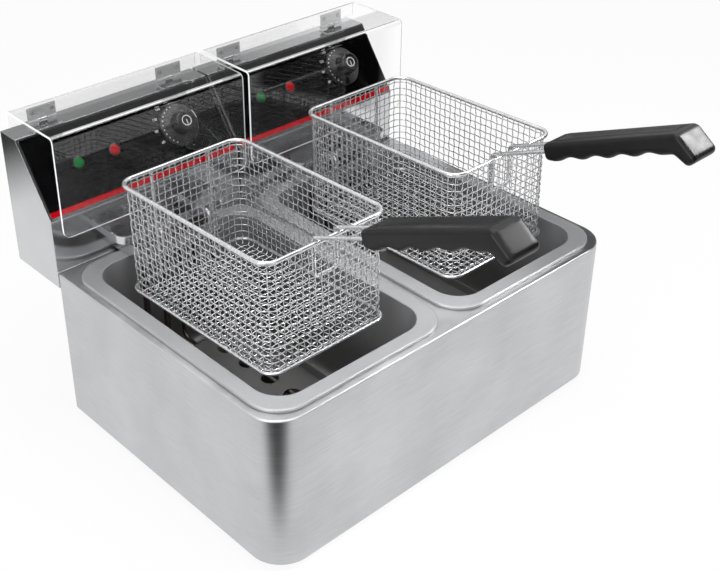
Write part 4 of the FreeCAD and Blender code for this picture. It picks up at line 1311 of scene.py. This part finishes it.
@dataclass
class FryBasket:
    """Woven wire of a basket, in its own frame: its back at y = 0 and its rim at z = 0."""

    side: Side
    width: float = 174 * MM
    depth: float = 260 * MM
    height: float = 142 * MM
    corner: float = 18 * MM
    inset: float = 2.7 * MM
    tilt: float = math.radians(-1.7)
    standoff: float = 70.6 * MM
    lift: float = 133 * MM
    pitch: float = 9 * MM
    wire: float = 0.62 * MM
    wire_steps: int = 1
    crimp: float = 0.75 * MM
    fold: float = 3.5 * MM
    steps: int = 2
    outline: list[StraightRun | CornerRun] = field(init=False)

    def __post_init__(self) -> None:
        """Lays out the outline from the middle of the front wall, anticlockwise from above."""
        half = self.width / 2 - self.inset
        back = -self.inset
        front = self.inset - self.depth
        radius = self.corner - self.inset
        across = half - radius
        length = back - front - 2 * radius
        right, left = Vector((1, 0)), Vector((-1, 0))
        rear, fore = Vector((0, 1)), Vector((0, -1))
        self.outline = [
            StraightRun(Vector((0, front)), right, across),
            CornerRun(Vector((across, front + radius)), -math.pi / 2, radius),
            StraightRun(Vector((half, front + radius)), rear, length),
            CornerRun(Vector((across, back - radius)), 0, radius),
            StraightRun(Vector((across, back)), left, 2 * across),
            CornerRun(Vector((-across, back - radius)), math.pi / 2, radius),
            StraightRun(Vector((-half, back - radius)), fore, length),
            CornerRun(Vector((-across, front + radius)), math.pi, radius),
            StraightRun(Vector((-across, front)), right, across)]
        self.around = sum(run.length for run in self.outline)
        self.uprights = 4 * round(self.around / self.pitch / 4)
        self.mesh = self.around / self.uprights
        self.rows = round((self.height - self.fold) / self.pitch)
        self.row = (self.height - self.fold) / self.rows

    def build(self) -> None:
        """Weaves the mesh from level wires, uprights and the wires of the bottom."""
        tag = self.side.tag
        runs: list[tuple[list[Point], bool]] = [(self.ring(number), True) for number in range(self.rows)]
        runs += [(self.upright(number), False) for number in range(self.uprights)]
        runs += [(points, False) for points in self.floor_wires()]
        woven = drawn(f"woven_mesh_{tag}", runs, dimensions="3D", bevel_depth=self.wire,
                      bevel_resolution=self.wire_steps, use_fill_caps=True)
        wear(woven, BASKET_WIRE)
        mount(woven, self.place(), SMOOTH_WIRE, f"basket_{tag}", "chrome_wire", f"basket_mesh_{tag}")

    def place(self) -> Matrix:
        """Gives the basket's own frame in the fryer's frame.

        Returns:
            Matrix from that frame to the fryer's.
        """
        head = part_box(f"head_casing_{self.side.tag}")[0]
        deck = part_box("outer_shell")[1]
        at = Matrix.Translation((self.side.head_x, head.y - self.standoff, deck.z + self.lift))
        return at @ Matrix.Rotation(self.tilt, 4, "X")

    def at(self, reach: float) -> tuple[Vector, Vector]:
        """Gives the outline's point at a distance along it, and the way out of the basket there.

        Args:
            reach: the distance; it may go round more than once.

        Returns:
            The point and the unit vector.
        """
        left = reach % self.around
        for run in self.outline:
            if left <= run.length:
                return run.at(left)
            left -= run.length
        return self.outline[-1].at(self.outline[-1].length)

    def ring(self, number: int) -> list[Point]:
        """Gives one level wire, crimped outside one upright and inside the next.

        Args:
            number: its row from the rim.

        Returns:
            Points of the closed wire.
        """
        points = []
        level = -(number + 0.5) * self.row
        for step in range(self.uprights * self.steps):
            share = step / self.steps
            middle, outward = self.at(share * self.mesh)
            wave = self.crimp * math.cos(math.pi * share) * (-1) ** number
            points.append((*(middle + outward * wave), level))
        return points

    def upright(self, number: int) -> list[Point]:
        """Gives one wire of the wall, crimped against the level wires and folded in at the bottom.

        Args:
            number: its place along the outline.

        Returns:
            Points of the wire, from the rim down.
        """
        middle, outward = self.at(number * self.mesh)
        points = []
        for step in range(self.rows * self.steps + 1):
            share = step / self.steps
            wave = -self.crimp * math.cos(math.pi * (share - 0.5)) * (-1) ** number
            points.append((*(middle + outward * wave), -share * self.row))
        wall = self.height - self.fold
        for step in range(1, BEND_STEPS + 1):
            angle = math.pi / 2 * step / BEND_STEPS
            inward = middle - outward * (self.fold * (1 - math.cos(angle)))
            points.append((*inward, -wall - self.fold * math.sin(angle)))
        return points

    def floor_wires(self) -> list[list[Point]]:
        """Gives the wires of the bottom, both ways, between the folds of the walls.

        Returns:
            Points of each wire.
        """
        found = []
        middle_y = -self.depth / 2
        half_x = self.width / 2 - self.inset - self.fold
        half_y = self.depth / 2 - self.inset - self.fold
        for half_span, half_length, along_y in ((half_x, half_y, True), (half_y, half_x, False)):
            count = int(half_span / self.mesh)
            crimp = self.crimp if along_y else -self.crimp
            for number in range(-count, count + 1):
                across = number * self.mesh
                reach = half_length - self.corner_cut(half_span - abs(across))
                steps = max(2, round(2 * reach / self.mesh * self.steps))
                points = []
                for step in range(steps + 1):
                    along = -reach + 2 * reach * step / steps
                    wave = crimp * math.cos(math.pi * along / self.mesh) * (-1) ** number
                    x, y = (across, along) if along_y else (along, across)
                    points.append((x, middle_y + y, -self.height + wave))
                found.append(points)
        return found

    def corner_cut(self, inside: float) -> float:
        """Gives how much a bottom wire is shortened at each end by the rounded corners.

        Args:
            inside: its distance from the side that it runs along.

        Returns:
            The length that the corner takes.
        """
        radius = self.corner - self.inset - self.fold / 2
        if inside >= radius:
            return 0.0
        return radius - math.sqrt(radius ** 2 - (radius - inside) ** 2)


@dataclass(frozen=True)
class Corner:
    """Corner of a side view, rounded by an arc."""

    y: float
    z: float
    radius: float

    def arc(self, before: "Corner", after: "Corner") -> list[Pair]:
        """Gives the points of the arc that rounds this corner.

        Args:
            before: the corner before it.
            after: the corner after it.

        Returns:
            Places along and up, from the first side to the second.
        """
        here = Vector((self.y, self.z))
        inward = (Vector((before.y, before.z)) - here).normalized()
        outward = (Vector((after.y, after.z)) - here).normalized()
        half = inward.angle(outward) / 2
        middle = here + (inward + outward).normalized() * (self.radius / math.sin(half))
        start = here + inward * (self.radius / math.tan(half)) - middle
        sweep = (math.pi - 2 * half) * (1 if inward.cross(outward) < 0 else -1)
        turns = [Matrix.Rotation(sweep * step / ARC_STEPS, 2) for step in range(ARC_STEPS + 1)]
        return [tuple(middle + turn @ start) for turn in turns]


@dataclass
class HandleGrip:
    """Moulded black grip with a turned-down end, finger scallops below and a long hollow on top."""

    basket: FryBasket
    tilt: float = math.radians(-23.5)
    stack: float = 5.2 * MM
    start: float = 78 * MM
    length: float = 198 * MM
    width: float = 43 * MM
    start_half: float = 9.5 * MM
    top: float = 10.5 * MM
    top_start: float = 12 * MM
    bottom: float = 12 * MM
    block: float = 27 * MM
    block_drop: float = 26 * MM
    tip_drop: float = 20 * MM
    radii: tuple[float, ...] = (6 * MM, 6 * MM, 20 * MM, 9 * MM, 6.5 * MM, 6 * MM, 8 * MM, 20 * MM)
    scallop_pitch: float = 35 * MM
    scallop_depth: float = 3.5 * MM
    scallops: int = 4
    edge: float = 5 * MM
    edge_steps: int = 4
    step: float = 3.5 * MM
    hollow: float = 11.5 * MM
    hollow_skin: float = 3 * MM
    presses: tuple[Pair, ...] = (
        (11.5 * MM, 0.7 * MM), (9 * MM, 0.7 * MM), (6.5 * MM, 0.5 * MM), (4 * MM, 0.3 * MM))
    cut: float = 2 * MM
    cuts: int = 6

    def place(self) -> Matrix:
        """Gives the grip's own frame: its wires leave the basket over the middle of the front rim.

        Returns:
            Matrix from that frame to the fryer's.
        """
        rim = self.basket.place() @ Vector((0, -self.basket.depth, 0))
        turn = Matrix.Rotation(self.tilt, 4, "X")
        return Matrix.Translation(rim + turn @ Vector((0, 0, self.stack))) @ turn

    def build(self) -> None:
        """Grows the grip's side view to its width with round edges, and presses its hollow."""
        tag = self.basket.side.tag
        grip = drawn(f"moulded_grip_{tag}", [([(y, z, 0.0) for y, z in self.outline()], True)],
                     dimensions="2D", fill_mode="BOTH", extrude=self.width / 2 - self.edge,
                     bevel_depth=self.edge, bevel_resolution=self.edge_steps, offset=-self.edge)
        grip.data.transform(SIDE_TO_FRAME)
        tidy_shell(grip)
        self.press_hollow(grip)
        wear(grip, GRIP_BLACK)
        mount(grip, self.place(), SMOOTH_GRIP, f"basket_{tag}", "grip_black", f"handle_grip_{tag}")

    def press_hollow(self, grip: Piece) -> None:
        """Presses the long shallow hollow into the grip's flat top, deeper towards its middle line.

        Args:
            grip: the grip, in its own frame.
        """
        for line in range(-self.cuts, self.cuts + 1):
            with editing(grip, Select.FACES, everything):
                bpy.ops.mesh.bisect(plane_co=(line * self.cut, 0, 0), plane_no=(1, 0, 0))
        for reach, drop in self.presses:
            with editing(grip, Select.VERTICES, partial(self.in_hollow, reach)):
                bpy.ops.transform.translate(value=(0, 0, -drop))

    def in_hollow(self, reach: float, at: Vector) -> bool:
        """Tells whether a point of the top lies within a distance of the hollow's middle line.

        Args:
            reach: the distance.
            at: the point.

        Returns:
            True if it does.
        """
        far = -self.start - self.length + self.block + self.hollow
        near = -self.start - self.top_start - self.hollow
        past = at.y - min(max(at.y, far), near)
        return at.z > self.top - self.hollow_skin and math.hypot(at.x, past) < reach

    def outline(self) -> list[Pair]:
        """Gives the side view's points: over the top, down the end and back along the scallops.

        Returns:
            Places along and up.
        """
        end = -self.start - self.length
        neck = -self.start - self.top_start
        places = (
            (-self.start, -self.start_half), (-self.start, self.start_half), (neck, self.top),
            (end + 2 * self.block / 3, self.top), (end, -self.tip_drop),
            (end + self.block / 2, -self.block_drop), (end + self.block, -self.bottom), (neck, -self.bottom))
        corners = [Corner(*place, radius) for place, radius in zip(places, self.radii)]
        points: list[Pair] = []
        for number, corner in enumerate(corners):
            arc = corner.arc(corners[number - 1], corners[(number + 1) % len(corners)])
            if points:
                points += self.run(points[-1], arc[0])
            points += arc
        return points + self.run(points[-1], points[0])

    def run(self, start: Pair, end: Pair) -> list[Pair]:
        """Gives the points of a straight side between two arcs; below, they follow the scallops.

        Args:
            start: last point of the arc before it.
            end: first point of the arc after it.

        Returns:
            The points between those two.
        """
        count = max(1, round(math.dist(start, end) / self.step))
        first = -self.start - self.scallop_pitch / 2
        points = []
        for step in range(1, count):
            y, z = (low + (high - low) * step / count for low, high in zip(start, end))
            reach = (first - y) / self.scallop_pitch
            if z < self.scallop_depth - self.bottom and 0 <= reach <= self.scallops:
                z += self.scallop_depth / 2 * (1 - math.cos(2 * math.pi * reach))
            points.append((y, z))
        return points


def main() -> None:
    """Builds the studio and every sub-assembly."""
    logging.basicConfig(level=logging.INFO, format="%(name)s: %(message)s")
    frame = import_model()
    Studio().build()
    dress(frame["nodes"])
    for side in Side:
        ControlHead(side).build()
        SplashCover(side).build()
        basket = FryBasket(side)
        basket.build()
        HandleGrip(basket).build()


if __name__ == "__main__":
    main()
